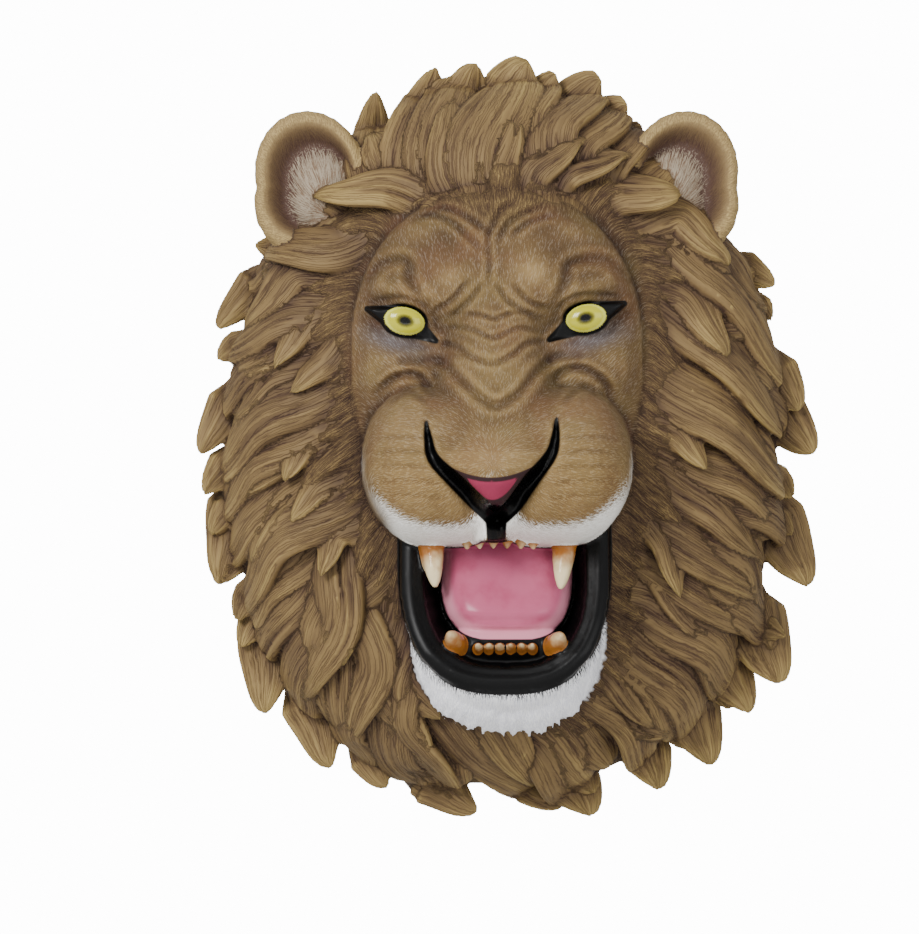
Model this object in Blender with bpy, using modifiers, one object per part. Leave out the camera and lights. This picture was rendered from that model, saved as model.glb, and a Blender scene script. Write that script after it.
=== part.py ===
"""Lion head wall mask: one resin casting with a flat back, and two domed eyes set into its face.

Lengths below are in millimetres until a mesh is made. X runs to the viewer's right, Z runs up, and
depth is measured forward from the wall, so a point at depth d has Y = -d. The origin is in the
middle of the flat back, at the height of the middle of the outline.
"""

import math

import bmesh
import bpy
import numpy as np
from mathutils import Matrix

MM = 0.001
COLLECTION_NAME = "lion_head_wall_mask"

# Driving sizes of the whole mask
MASK_WIDTH = 330.0
MASK_HEIGHT = 406.0

# Mesh fineness of the head
RELIEF_STEP = 2.5
VOXEL = 2.4
HEAD_TRIANGLES = 8500
RINGS_ALONG = 14
RINGS_AROUND = 12
BEHIND_WALL = 9.0

# Hair bed: the rounded mass under the locks
BED_CENTRE = (4.0, 0.0)
BED_REACH = (MASK_WIDTH / 2 - 18.0, MASK_HEIGHT / 2 - 17.0)
BED_SQUARENESS = 2.3
BED_EDGE = 19.0
BED_RISE = 85.0

# Face oval and the muzzle
FACE_CENTRE = (0.0, 42.0)
FACE_REACH = (77.0, 88.0)
FACE_FOOT = 90.0
FACE_RISE = 26.0
PAD_CENTRE = (36.0, -15.0)
PAD_REACH = (34.5, 40.5)
PAD_FOOT = 104.0
PAD_RISE = 57.0
NOSE_MIDDLE = -3.5

# Mouth, jaw and chin
MOUTH_CENTRE = (4.0, -62.0)
MOUTH_REACH = (55.0, 69.5)
CHIN_CENTRE = (5.0, -100.0)
CHIN_REACH = (50.0, 52.0)
CHIN_FUR_COUNT = 22
CHIN_FUR_SPREAD = 84.0
CHIN_FUR_LENGTH = 17.0
CHIN_FUR_WIDTH = 9.5
GUM_CENTRE = (4.5, -109.0)
GUM_REACH = (35.0, 10.0)
TONGUE_CENTRE = (4.8, -64.0)
TONGUE_REACH = (34.5, 41.0)
TONGUE_DEPTH = ((-106, 134), (-98, 136), (-90, 132), (-75, 122), (-60, 113), (-45, 106))

# Eyes: domed ovals, each in a pocket a little larger than itself
EYE_CENTRES = ((-48.5, 61.0), (46.5, 62.5))
EYE_REACH = (11.0, 7.4)
EYE_TILT = 12.0
EYE_BACK = 106.0
EYE_EDGE = 110.5
EYE_DOME = 4.6
EYE_GAP = 0.35

# Ears
EAR_CENTRE = (99.0, 141.0)
EAR_REACH = (28.0, 36.0)
EAR_TILT = 12.0
# Each ring of an ear: its share of the reach, and its depth from the wall
EAR_RINGS = (
    (0.38, 12.0),
    (0.66, 22.0),
    (0.86, 36.0),
    (0.97, 47.0),
    (1.00, 55.0),
    (0.96, 60.5),
    (0.88, 63.0),
    (0.79, 60.0),
    (0.70, 53.0),
    (0.55, 47.0),
    (0.30, 45.0),
)

# Keyhole slot in the back, for a screw head
SLOT_HEIGHT = 130.0
SLOT_HEAD_RADIUS = 7.0
SLOT_NECK_WIDTH = 6.0
SLOT_RISE = 13.0
SLOT_DEPTH = 8.0

# Locks of the mane, largest first in each group: root x, root z, tip x, tip z, width, bow, layer.
# A bow above 0 lifts the middle of the lock, as a share of its length. Layer 0 lies nearest the wall.
LEFT_LOCKS = (
    (-70, 108, -125, 103, 18, -0.12, 3),
    (-66, 100, -118, 92, 15, 0.10, 2),
    (-98, 100, -142, 62, 23, 0.16, 0),
    (-80, 92, -134, 58, 24, 0.16, 1),
    (-84, 72, -146, 42, 21, 0.04, 2),
    (-82, 70, -115, 37, 14, 0.14, 3),
    (-84, 44, -107, 22, 12, -0.16, 3),
    (-112, 52, -157, -6, 25, 0.10, 0),
    (-100, 38, -139, 10, 16, 0.10, 2),
    (-98, 22, -156, -30, 27, 0.10, 1),
    (-92, 2, -112, -23, 15, 0.12, 3),
    (-104, -2, -152, -52, 23, 0.12, 0),
    (-82, -20, -108, -43, 14, 0.08, 3),
    (-116, -28, -149, -78, 25, 0.06, 0),
    (-88, -38, -138, -98, 27, 0.14, 1),
    (-72, -44, -92, -73, 16, 0.16, 3),
    (-104, -66, -136, -112, 22, 0.10, 0),
    (-108, -84, -123, -147, 28, 0.14, 0),
    (-84, -72, -106, -140, 24, -0.10, 2),
    (-66, -78, -80, -120, 17, 0.16, 3),
    (-92, -104, -89, -173, 29, -0.17, 0),
    (-72, -96, -80, -160, 22, -0.14, 1),
)
BOTTOM_LOCKS = (
    (-52, -104, -31, -178, 25, -0.16, 2),
    (-72, -130, -58, -186, 26, -0.20, 0),
    (-58, -140, -10, -199, 30, -0.18, 0),
    (-52, -120, -18, -190, 26, -0.16, 1),
    (-24, -132, 20, -186, 24, 0.08, 2),
    (6, -146, 50, -202, 32, 0.10, 0),
    (-30, -146, 34, -198, 24, -0.06, 0),
    (4, -142, 52, -190, 24, 0.08, 1),
    (54, -134, 86, -188, 30, 0.14, 0),
    (82, -116, 117, -172, 31, 0.14, 0),
    (50, -112, 83, -153, 19, 0.06, 2),
)
RIGHT_LOCKS = (
    (92, -96, 135, -147, 30, 0.12, 1),
    (116, -76, 152, -129, 31, 0.16, 0),
    (92, -72, 155, -106, 21, -0.02, 1),
    (88, -48, 146, -85, 22, 0.00, 2),
    (98, -26, 138, -62, 22, 0.04, 2),
    (76, -38, 96, -84, 16, 0.08, 3),
    (122, -26, 166, -79, 30, 0.16, 0),
    (112, -14, 158, -52, 20, 0.08, 1),
    (104, 10, 159, -33, 27, 0.06, 1),
    (82, 10, 110, -17, 16, 0.10, 3),
    (126, 36, 168, -7, 26, 0.06, 0),
    (108, 56, 151, 0, 23, 0.10, 2),
    (118, 58, 161, 12, 24, 0.06, 1),
    (112, 82, 151, 32, 22, 0.04, 0),
    (84, 78, 118, 42, 16, 0.12, 3),
    (98, 92, 145, 78, 20, 0.10, 1),
    (104, 100, 138, 62, 20, 0.10, 2),
    (80, 106, 124, 82, 16, 0.16, 3),
)
CROWN_LOCKS = (
    (-70, 124, -75, 164, 20, -0.08, 0),
    (-56, 132, -61, 184, 22, -0.08, 0),
    (-44, 132, -32, 197, 25, 0.10, 0),
    (-40, 140, -22, 194, 24, 0.06, 0),
    (-26, 146, -11, 199, 23, 0.06, 0),
    (-30, 128, -24, 170, 17, 0.14, 2),
    (-6, 136, 15, 201, 31, 0.12, 0),
    (4, 134, 38, 193, 26, 0.16, 0),
    (22, 140, 55, 192, 26, 0.16, 0),
    (34, 140, 67, 182, 22, 0.14, 0),
    (48, 136, 78, 169, 21, 0.14, 0),
    (-4, 118, 6, 178, 19, 0.08, 2),
    (6, 126, 22, 168, 17, 0.12, 2),
    (20, 128, 47, 155, 17, 0.12, 2),
    (30, 124, 69, 147, 19, 0.10, 2),
    (42, 122, 95, 125, 20, 0.18, 3),
    (-48, 126, -97, 124, 18, -0.10, 3),
    (-40, 128, -64, 158, 17, 0.16, 2),
)
LAYER_LIFT = (3.0, 7.5, 12.0, 15.0)
LOCK_FLATNESS = 0.42
LOCK_TIP_CURL = 5.0
LOCK_TIP_OVERSHOOT = 3.5

# Combed locks that fill the mane in rings between the face and the outline, outermost first:
# count, share of the way out, length, width, lift. They share one flow of the hair.
COMBED_RINGS = (
    (34, 0.52, 68.0, 20.0, 1.0),
    (40, 0.34, 62.0, 17.0, 6.0),
    (46, 0.14, 52.0, 13.5, 10.0),
    (54, -0.04, 38.0, 9.5, 10.0),
)
COMB_SEED = 11
COMB_STRAY = 13.0
COMB_WAVE = 30.0
FLOW_CENTRE = (2.0, -8.0)
# Way the hair runs at each place round the face, both in degrees clockwise from straight up
FLOW = (
    (0, 12),
    (22, 45),
    (36, 85),
    (52, 124),
    (75, 138),
    (100, 142),
    (140, 136),
    (180, 134),
    (200, 140),
    (218, 168),
    (236, 196),
    (256, 216),
    (276, 228),
    (298, 238),
    (314, 262),
    (326, 290),
    (342, 340),
    (360, 372),
)
# Edge of the face, where the mane begins, round from the middle of the hairline
FACE_EDGE = (
    (0, 113),
    (28, 122),
    (54, 120),
    (75, 93),
    (80, 49),
    (74, 15),
    (71, -7),
    (61, -51),
    (55, -85),
    (52, -114),
    (38, -138),
    (4, -150),
    (-25, -142),
    (-42, -114),
    (-47, -70),
    (-58, -42),
    (-70, -1),
    (-74, 20),
    (-79, 49),
    (-72, 91),
    (-51, 123),
    (-26, 124),
)

# Ridge line of the nose, and half of its width, each from height to size
RIDGE_DEPTH = (
    (150, 0),
    (136, 84),
    (124, 101),
    (104, 111),
    (84, 119),
    (62, 125),
    (42, 134),
    (20, 149),
    (4, 163),
    (-8, 173),
    (-15, 176),
    (-24, 173),
    (-34, 165),
    (-44, 150),
)
RIDGE_HALF_WIDTH = (
    (104, 34),
    (62, 20),
    (42, 22),
    (20, 28),
    (2, 33),
    (-10, 31),
    (-18, 25),
    (-27, 14),
    (-38, 6),
)
RIDGE_FALL = ((60, 13), (10, 15), (-5, 17), (-38, 8))

# Soft swellings of the face: middle x, middle z, reach x, reach z, rise, turn in degrees
SWELLINGS = (
    (-22, 86, 15, 13, 6.5, 0),
    (21, 87, 15, 13, 6.5, 0),
    (-40, 112, 24, 12, 3.0, 12),
    (38, 112, 24, 12, 3.0, -12),
    (-52, 77, 22, 7, 8.0, -14),
    (50, 79, 22, 7, 8.0, 14),
    (-48, 58, 21, 12, -9.0, -20),
    (46, 60, 21, 12, -9.0, 20),
    (-58, 36, 18, 14, 5.0, 0),
    (58, 37, 18, 14, 5.0, 0),
    (-40, 26, 13, 8, 5.0, 20),
    (40, 28, 13, 8, 5.0, -20),
)

# Creases of the face: width, depth, then the points that the crease runs through
CREASES = (
    (3.0, 3.0, ((0, 130), (-1, 104), (-2, 70))),
    (2.6, 2.2, ((0, 101), (-22, 117), (-43, 121))),
    (2.6, 2.2, ((-9, 94), (-30, 111), (-50, 113))),
    (2.6, 2.2, ((2, 104), (12, 116), (27, 123))),
    (2.6, 2.2, ((7, 101), (20, 112), (36, 118))),
    (3.5, 2.5, ((-74, 79), (-60, 91), (-47, 90), (-40, 72))),
    (3.5, 2.5, ((39, 72), (46, 89), (60, 91), (72, 82))),
    (2.0, 2.0, ((-33, 66), (-22, 71), (-14, 79))),
    (2.0, 2.2, ((-27, 61), (-17, 67), (-8, 74))),
    (2.0, 2.2, ((2, 74), (12, 68), (23, 62))),
    (2.0, 2.0, ((10, 78), (18, 71), (28, 66))),
    (2.2, 2.0, ((-21, 62), (-2, 63), (18, 62))),
    (2.2, 2.2, ((-24, 57), (-3, 52), (20, 57))),
    (2.6, 2.8, ((-34, 48), (-16, 47), (-2, 41), (9, 46), (28, 49))),
    (3.4, 4.0, ((-50, 39), (-30, 40), (-17, 29), (-2, 19), (11, 27), (27, 39), (46, 41))),
    (3.0, 3.0, ((-60, 22), (-52, 29), (-42, 31), (-33, 26))),
    (3.0, 3.0, ((28, 29), (38, 34), (50, 30), (61, 22))),
    (3.0, 2.0, ((-66, 4), (-58, 16), (-46, 20))),
    (3.0, 2.0, ((48, 22), (58, 17), (67, 5))),
    (1.6, 1.4, ((-64, 70), (-48, 73), (-35, 69))),
    (1.6, 1.4, ((34, 71), (47, 74.5), (62, 72))),
)

# Nostril slits and the groove under the nose: half width at each point, then the points
NOSTRILS = (
    ((1.6, 3.2, 4.4, 4.2, 3.4), ((-37, 8), (-35.5, -9), (-24, -24), (-11, -34), (-2, -42))),
    ((1.6, 3.2, 4.4, 4.2, 3.4), ((30, 10), (27.5, -8), (17, -23), (7, -33), (-1, -42))),
    ((3.4, 4.2), ((-1.5, -42), (-1, -56))),
)
NOSTRIL_DEPTH = 6.0

UPPER_INCISORS = (-16.0, -9.2, -2.3, 4.8, 11.8, 18.4)
LOWER_INCISORS = (-10.1, -4.4, 1.2, 6.8, 12.4, 18.0)


def between(stops, at):
    """Value at each place, read from stops given as (place, value)."""
    places, values = zip(*sorted(stops))
    return np.interp(at, places, values)


def smooth_step(low, high, value):
    share = np.clip((value - low) / (high - low), 0.0, 1.0)
    return share * share * (3.0 - 2.0 * share)


def soft_max(a, b, reach):
    """The larger of two depths, rounded where they are within reach of each other."""
    share = np.clip(0.5 + 0.5 * (a - b) / reach, 0.0, 1.0)
    return b * (1.0 - share) + a * share + reach * share * (1.0 - share)


def oval_share(x, z, centre, reach, squareness):
    """How far out a point lies: 0 at the centre of an oval, 1 on its outline."""
    across = np.abs((x - centre[0]) / reach[0]) ** squareness
    up = np.abs((z - centre[1]) / reach[1]) ** squareness
    return (across + up) ** (1.0 / squareness)


def distance_outside(x, z, centre, reach, squareness):
    """About how far a point lies outside an oval, in millimetres, below 0 inside it."""
    share = np.maximum(oval_share(x, z, centre, reach, squareness), 1e-6)
    return np.hypot(x - centre[0], z - centre[1]) * (1.0 - 1.0 / share)


def dome(share, foot, rise):
    """Depth of a rounded form whose rim stands at foot, and nothing outside its outline."""
    return np.where(share < 1.0, foot + rise * np.sqrt(np.clip(1.0 - share**2, 0.0, 1.0)), -BEHIND_WALL)


def swelling(x, z, middle_x, middle_z, reach_x, reach_z, rise, turn):
    angle = math.radians(turn)
    along = (x - middle_x) * math.cos(angle) + (z - middle_z) * math.sin(angle)
    across = (z - middle_z) * math.cos(angle) - (x - middle_x) * math.sin(angle)
    return rise * np.exp(-((along / reach_x) ** 2) - (across / reach_z) ** 2)


def path_distance(x, z, points, sizes=None):
    """Distance to a path of points, how far along it the nearest place is, and the size there."""
    nearest = np.full(np.shape(x), 1e6)
    place = np.zeros(np.shape(x))
    size = np.zeros(np.shape(x))
    sizes = sizes or [1.0] * len(points)
    legs = len(points) - 1
    for leg in range(legs):
        (ax, az), (bx, bz) = points[leg], points[leg + 1]
        length = math.hypot(bx - ax, bz - az)
        share = np.clip(((x - ax) * (bx - ax) + (z - az) * (bz - az)) / length**2, 0.0, 1.0)
        gap = np.hypot(x - ax - share * (bx - ax), z - az - share * (bz - az))
        closer = gap < nearest
        nearest = np.where(closer, gap, nearest)
        place = np.where(closer, (leg + share) / legs, place)
        size = np.where(closer, sizes[leg] + share * (sizes[leg + 1] - sizes[leg]), size)
    return nearest, place, size


def rounded_path(points, steps=4):
    """The same path with a smooth curve through its points."""
    points = np.array(points, float)
    padded = np.vstack([2 * points[0] - points[1], points, 2 * points[-1] - points[-2]])
    curve = []
    for i in range(1, len(padded) - 2):
        before, start, end, after = padded[i - 1 : i + 3]
        for t in np.arange(steps) / steps:
            curve.append(
                0.5
                * (
                    2 * start
                    + (end - before) * t
                    + (2 * before - 5 * start + 4 * end - after) * t**2
                    + (3 * start - before - 3 * end + after) * t**3
                )
            )
    curve.append(points[-1])
    return [tuple(point) for point in curve]


def bed_depth(x, z):
    """Depth of the hair bed, which carries every lock."""
    share = oval_share(x, z, BED_CENTRE, BED_REACH, BED_SQUARENESS)
    return BED_EDGE + BED_RISE * np.sqrt(np.clip(1.0 - share**2.2, 0.0, 1.0))


def upper_face_depth(x, z):
    """Forehead, brows, eye hollows, cheeks and the ridge of the nose, without its creases."""
    share = oval_share(x, z, FACE_CENTRE, FACE_REACH, 2.3)
    face = dome(share, FACE_FOOT, FACE_RISE)
    inside = smooth_step(1.0, 0.85, share)
    for row in SWELLINGS:
        face = face + inside * swelling(x, z, *row)
    middle = NOSE_MIDDLE * smooth_step(60.0, 0.0, z)
    side = np.minimum(np.abs((x - middle) / between(RIDGE_HALF_WIDTH, z)), 3.0)
    ridge = between(RIDGE_DEPTH, z) - between(RIDGE_FALL, z) * side**2.6
    return soft_max(face, ridge, 7.0)


def muzzle_depth(x, z):
    """The two pads of the upper lip and the block between them."""
    pads = []
    for side in (-1, 1):
        share = oval_share(x, z, (side * PAD_CENTRE[0], PAD_CENTRE[1]), PAD_REACH, 2.25)
        flat = np.sqrt(np.clip(1.0 - share**2.7, 0.0, 1.0))
        pads.append(np.where(share < 1.0, PAD_FOOT + PAD_RISE * flat, -BEHIND_WALL))
    block = dome(oval_share(x, z, (-1.5, -26.0), (22.0, 28.0), 2.6), 120.0, 37.0)
    return soft_max(soft_max(pads[0], pads[1], 4.0), block, 4.0)


def rim_depth(z):
    """Depth of the black lip, which runs back as it rises from the chin to the corners."""
    return between(((-131, 146), (-112, 142), (-95, 135), (-70, 123), (-45, 112)), z)


def mouth_depth(x, z):
    """Inside of the open mouth: lip, gum, the floor behind them and the tongue."""
    outside = distance_outside(x, z, MOUTH_CENTRE, MOUTH_REACH, 2.6)
    rim = rim_depth(z)
    lip = rim - 3.0 * ((outside + 6.5) / 6.5) ** 2
    groove = rim - 9.0 - 2.6 * np.clip(-outside - 13.0, 0.0, 8.0)
    gum = dome(oval_share(x, z, GUM_CENTRE, GUM_REACH, 2.6), 124.0, 9.0)
    floor = np.maximum(groove, 92.0)
    share = oval_share(x, z, TONGUE_CENTRE, TONGUE_REACH, 3.2)
    tongue = between(TONGUE_DEPTH, z) - 16.0 * share**6
    tongue = tongue - 2.4 * np.exp(-(((x - TONGUE_CENTRE[0]) / 5.0) ** 2)) * smooth_step(-102.0, -88.0, z)
    tongue = np.where(share < 1.0, tongue, -BEHIND_WALL)
    inner = soft_max(floor, np.maximum(gum, tongue), 1.5)
    return np.where(outside > -13.5, np.maximum(lip, inner), inner)


def jaw_depth(x, z):
    """Fur of the chin around the lip, with an undercut edge."""
    outside = distance_outside(x, z, CHIN_CENTRE, CHIN_REACH, 2.4)
    rim = rim_depth(z)
    fall = 26.0 * smooth_step(-26.0, 2.0, outside) ** 1.8
    return np.where((outside < 0) & (z < -52.0), rim - 1.0 - fall, -BEHIND_WALL)


def face_creases(x, z, depth):
    """The depth with folds, nostrils and eyelids pressed into it."""
    for width, press, points in CREASES:
        gap, place, _ = path_distance(x, z, rounded_path(points))
        ends = smooth_step(0.0, 0.18, place) * smooth_step(1.0, 0.82, place)
        valley = np.exp(-((gap / width) ** 2))
        shoulder = 0.45 * np.exp(-(((gap - 2.1 * width) / width) ** 2))
        depth = depth - press * (valley - shoulder) * (0.25 + 0.75 * ends)
    for sizes, points in NOSTRILS:
        gap, _, half_width = path_distance(x, z, points, sizes)
        depth = depth - NOSTRIL_DEPTH * smooth_step(1.25, 0.35, gap / half_width)
    return depth


def eye_frame(x, z, centre, side):
    """Coordinates along and across an eye opening, which falls towards the nose."""
    angle = math.radians(24.0) * -side
    along = (x - centre[0]) * math.cos(angle) - (z - centre[1]) * math.sin(angle)
    across = (z - centre[1]) * math.cos(angle) + (x - centre[0]) * math.sin(angle)
    return along, across


def eyelids(x, z, depth):
    """The depth with an almond opening for each eye and the lids around it."""
    for centre, side in zip(EYE_CENTRES, (-1, 1)):
        along, across = eye_frame(x, z, (centre[0], centre[1] - 1.5), side)
        reach = np.clip(1.0 - (along / 20.0) ** 2, 0.0, 1.0)
        opening = np.abs(across) - 9.4 * reach
        near = smooth_step(22.5, 17.0, np.abs(along))
        lid = 2.4 * np.exp(-(((opening - 1.8) / 1.7) ** 2)) * near
        pit = smooth_step(1.0, -1.6, opening) * near
        depth = (depth + lid) * (1.0 - pit) + (EYE_EDGE - 1.5) * pit
    return depth


def relief_depth(x, z):
    """Depth of the whole front without locks, ears and teeth."""
    bed = bed_depth(x, z)
    outline = oval_share(x, z, BED_CENTRE, BED_REACH, BED_SQUARENESS)
    muzzle = muzzle_depth(x, z)
    blend = 3.0 + 13.0 * smooth_step(-22.0, 14.0, z)
    face = eyelids(x, z, face_creases(x, z, soft_max(upper_face_depth(x, z), muzzle, blend)))
    below_lip = (muzzle < 0.0) & (z < -30.0)
    face = np.where(below_lip, -BEHIND_WALL, face)
    in_mouth = (distance_outside(x, z, MOUTH_CENTRE, MOUTH_REACH, 2.6) < 0.0) & (z < -30.0)
    open_front = np.maximum(face, mouth_depth(x, z))
    solid_front = np.maximum(soft_max(bed, face, 6.0), jaw_depth(x, z))
    front = np.where(in_mouth, open_front, solid_front)
    return np.where(outline < 1.0, front, -BEHIND_WALL)


def new_object(name, mesh, collection):
    piece = bpy.data.objects.new(name, mesh)
    collection.objects.link(piece)
    return piece


def add_relief(shape):
    """Grid over the front, moved forward by the relief, and closed behind the wall plane."""
    half_x, half_z = MASK_WIDTH / 2, MASK_HEIGHT / 2
    columns, rows = int(MASK_WIDTH / RELIEF_STEP), int(MASK_HEIGHT / RELIEF_STEP)
    made = bmesh.ops.create_grid(shape, x_segments=columns, y_segments=rows, size=0.5)
    points = np.array([vert.co for vert in made["verts"]])
    x = points[:, 0] * 2 * half_x + BED_CENTRE[0]
    z = points[:, 1] * 2 * half_z
    depth = relief_depth(x, z)
    for vert, px, pz, d in zip(made["verts"], x, z, depth):
        vert.co = (px, -d, pz)
    faces = {face for vert in made["verts"] for face in vert.link_faces}
    back = bmesh.ops.extrude_face_region(shape, geom=list(faces))
    for item in back["geom"]:
        if isinstance(item, bmesh.types.BMVert):
            item.co.y = BEHIND_WALL + 3.0


def add_loft(shape, rings):
    """Closed skin over a row of rings with equal counts of points."""
    made = [[shape.verts.new(point) for point in ring] for ring in rings]
    count = len(made[0])
    for here, there in zip(made, made[1:]):
        for i in range(count):
            j = (i + 1) % count
            shape.faces.new((here[i], here[j], there[j], there[i]))
    shape.faces.new(made[0][::-1])
    shape.faces.new(made[-1])


def unit(vectors):
    return vectors / np.maximum(np.linalg.norm(vectors, axis=-1, keepdims=True), 1e-9)


def bed_normal(x, z):
    """Direction that the hair bed faces, as unit vectors."""
    step = 1.0
    slope_x = (bed_depth(x + step, z) - bed_depth(x - step, z)) / (2 * step)
    slope_z = (bed_depth(x, z + step) - bed_depth(x, z - step)) / (2 * step)
    steepest = np.clip(1.2 / np.maximum(np.hypot(slope_x, slope_z), 1e-6), 0.0, 1.0)
    return unit(np.stack([-slope_x * steepest, -np.ones_like(slope_x), -slope_z * steepest], axis=-1))


def lock_skin(x, z, width, lift, curl):
    """Rings of one lock along a path over the bed: flattened, tapering and lifted at its tip."""
    t = np.linspace(0.0, 1.0, len(x))
    swell = 0.62 + 0.38 * np.sin(np.minimum(t / 0.42, 1.0) * math.pi / 2)
    taper = np.clip(1.0 - np.clip((t - 0.42) / 0.58, 0.0, 1.0) ** 2.0, 0.0, 1.0) ** 0.75
    half_width = 0.5 * width * swell * np.maximum(taper, 0.04)
    half_thick = LOCK_FLATNESS * half_width + 1.6 * taper
    depth = bed_depth(x, z) + lift * smooth_step(-0.2, 0.35, t) - 4.0 * (1 - t) ** 3
    depth = depth + curl * smooth_step(0.55, 1.0, t)
    spine = np.stack([x, -depth, z], axis=-1)
    along = unit(np.gradient(spine, axis=0))
    side = unit(np.cross(along, bed_normal(x, z)))
    facing = unit(np.cross(side, along))
    angles = np.linspace(0.0, 2.0 * math.pi, RINGS_AROUND, endpoint=False)
    rings = []
    for i in range(len(x)):
        across = side[i] * half_width[i] * np.cos(angles)[:, None]
        outward = facing[i] * half_thick[i] * np.sin(angles)[:, None]
        rings.append(spine[i] + across + outward)
    return rings


def lock_rings(root_x, root_z, tip_x, tip_z, width, bow, layer):
    """Rings of one named lock of the mane."""
    t = np.linspace(0.0, 1.0, RINGS_ALONG)
    chord = np.array([tip_x - root_x, tip_z - root_z], float)
    chord *= 1.0 + LOCK_TIP_OVERSHOOT / np.hypot(*chord)
    rise = np.array([-chord[1], chord[0]]) if chord[0] >= 0 else np.array([chord[1], -chord[0]])
    sway = 4.0 * t * (1.0 - t) * bow * (1.0 + 0.35 * np.sin(2.0 * math.pi * t))
    x = root_x + chord[0] * t + rise[0] * sway
    z = root_z + chord[1] * t + rise[1] * sway
    curl = LOCK_TIP_CURL * min(1.0, np.hypot(*chord) / 40.0)
    return lock_skin(x, z, width, LAYER_LIFT[layer], curl)


def turn_of(x, z):
    """Place round the face, in degrees clockwise from straight up."""
    return np.degrees(np.arctan2(x - FLOW_CENTRE[0], z - FLOW_CENTRE[1])) % 360.0


def face_edge_reach(turn):
    """Distance from the middle of the flow to the edge of the face."""
    stops = [(float(turn_of(x, z)), math.hypot(x - FLOW_CENTRE[0], z - FLOW_CENTRE[1])) for x, z in FACE_EDGE]
    stops += [(at - 360.0, reach) for at, reach in stops] + [(at + 360.0, reach) for at, reach in stops]
    return between(stops, turn)


def bed_edge_reach(turn):
    """Distance from the middle of the flow to the edge of the hair bed."""
    angle = math.radians(turn)
    low, high = 0.0, 400.0
    for _ in range(24):
        middle = (low + high) / 2
        x = FLOW_CENTRE[0] + middle * math.sin(angle)
        z = FLOW_CENTRE[1] + middle * math.cos(angle)
        inside = oval_share(x, z, BED_CENTRE, BED_REACH, BED_SQUARENESS) < 1.0
        low, high = (middle, high) if inside else (low, middle)
    return low


def combed_paths():
    """Path, width and lift of every combed lock, from the outline in towards the face."""
    chance = np.random.default_rng(COMB_SEED)
    for ring, (count, share, length, width, lift) in enumerate(COMBED_RINGS):
        for i in range(count):
            turn = (i + 0.5 * (ring % 2) + chance.uniform(-0.3, 0.3)) * 360.0 / count
            near, far = face_edge_reach(turn), bed_edge_reach(turn)
            reach = near + (far - near) * (share + chance.uniform(-0.05, 0.05))
            x = FLOW_CENTRE[0] + reach * math.sin(math.radians(turn))
            z = FLOW_CENTRE[1] + reach * math.cos(math.radians(turn))
            span = min(length, 1.15 * (far - near) + 8.0) * chance.uniform(0.8, 1.2)
            stray = chance.uniform(-COMB_STRAY, COMB_STRAY)
            wave = chance.uniform(0.4, 1.0) * COMB_WAVE * chance.choice((-1.0, 1.0))
            path = [(x, z)]
            for t in np.linspace(0.0, 1.0, RINGS_ALONG)[1:]:
                here = float(turn_of(x, z))
                flow = float(between(FLOW, here))
                outward = here - flow
                outward = (outward + 180.0) % 360.0 - 180.0
                way = flow + 0.45 * outward * (1.0 - t) + stray + wave * math.sin(2.0 * math.pi * t)
                x += span / (RINGS_ALONG - 1) * math.sin(math.radians(way))
                z += span / (RINGS_ALONG - 1) * math.cos(math.radians(way))
                beyond = max(1.0, oval_share(x, z, BED_CENTRE, BED_REACH, BED_SQUARENESS))
                x = BED_CENTRE[0] + (x - BED_CENTRE[0]) / beyond
                z = BED_CENTRE[1] + (z - BED_CENTRE[1]) / beyond
                path.append((x, z))
            size = width * chance.uniform(0.8, 1.25)
            yield np.array(path), size, lift + chance.uniform(-1.5, 1.5)


def oval_ring(centre, reach, tilt, share, depth, count=24):
    """Ring of an oval form seen from the front, at one depth."""
    angles = np.linspace(0.0, 2.0 * math.pi, count, endpoint=False)
    across, up = reach[0] * share * np.cos(angles), reach[1] * share * np.sin(angles)
    lean = math.radians(tilt)
    x = centre[0] + across * math.cos(lean) - up * math.sin(lean)
    z = centre[1] + across * math.sin(lean) + up * math.cos(lean)
    return np.stack([x, np.full(count, -depth), z], axis=-1)


def ear_rings(side):
    centre = (side * EAR_CENTRE[0], EAR_CENTRE[1])
    return [oval_ring(centre, EAR_REACH, -side * EAR_TILT, share, depth) for share, depth in EAR_RINGS]


def tooth_rings(root, tip, radius, bend=0.0, count=10, steps=7):
    """A pointed tooth from its root to its tip, both as x, depth, z."""
    root, tip = np.array(root, float), np.array(tip, float)
    axis = unit(tip - root)
    side = unit(np.cross(axis, (0.0, 1.0, 0.31)))
    up = np.cross(side, axis)
    angles = np.linspace(0.0, 2.0 * math.pi, count, endpoint=False)
    rings = []
    for t in np.linspace(0.0, 1.0, steps):
        size = radius * math.sqrt(max(1.0 - t**1.7, 0.02))
        middle = root + (tip - root) * t + up * bend * 4.0 * t * (1.0 - t)
        ring = middle + size * (np.cos(angles)[:, None] * side + np.sin(angles)[:, None] * up)
        rings.append(ring * (1.0, -1.0, 1.0))
    return rings


def teeth():
    """Rings of every tooth: two upper and two lower canines, and two rows of incisors."""
    yield tooth_rings((-33.0, 141.0, -46.0), (-32.0, 143.0, -77.5), 7.2, 1.5)
    yield tooth_rings((35.0, 141.0, -46.0), (32.5, 143.0, -78.5), 7.2, 1.5)
    yield tooth_rings((-21.5, 126.0, -111.0), (-25.5, 148.0, -99.0), 7.8, 1.0)
    yield tooth_rings((30.5, 126.0, -111.5), (33.0, 148.0, -99.5), 7.8, 1.0)
    for x in UPPER_INCISORS:
        drop = 57.5 + 0.06 * abs(x - 1.0)
        yield tooth_rings((x, 146.0, -48.0), (x, 148.0, -drop), 3.3)
    for x in LOWER_INCISORS:
        yield tooth_rings((x, 129.0, -110.5), (x, 142.0, -106.0), 3.2)


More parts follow.
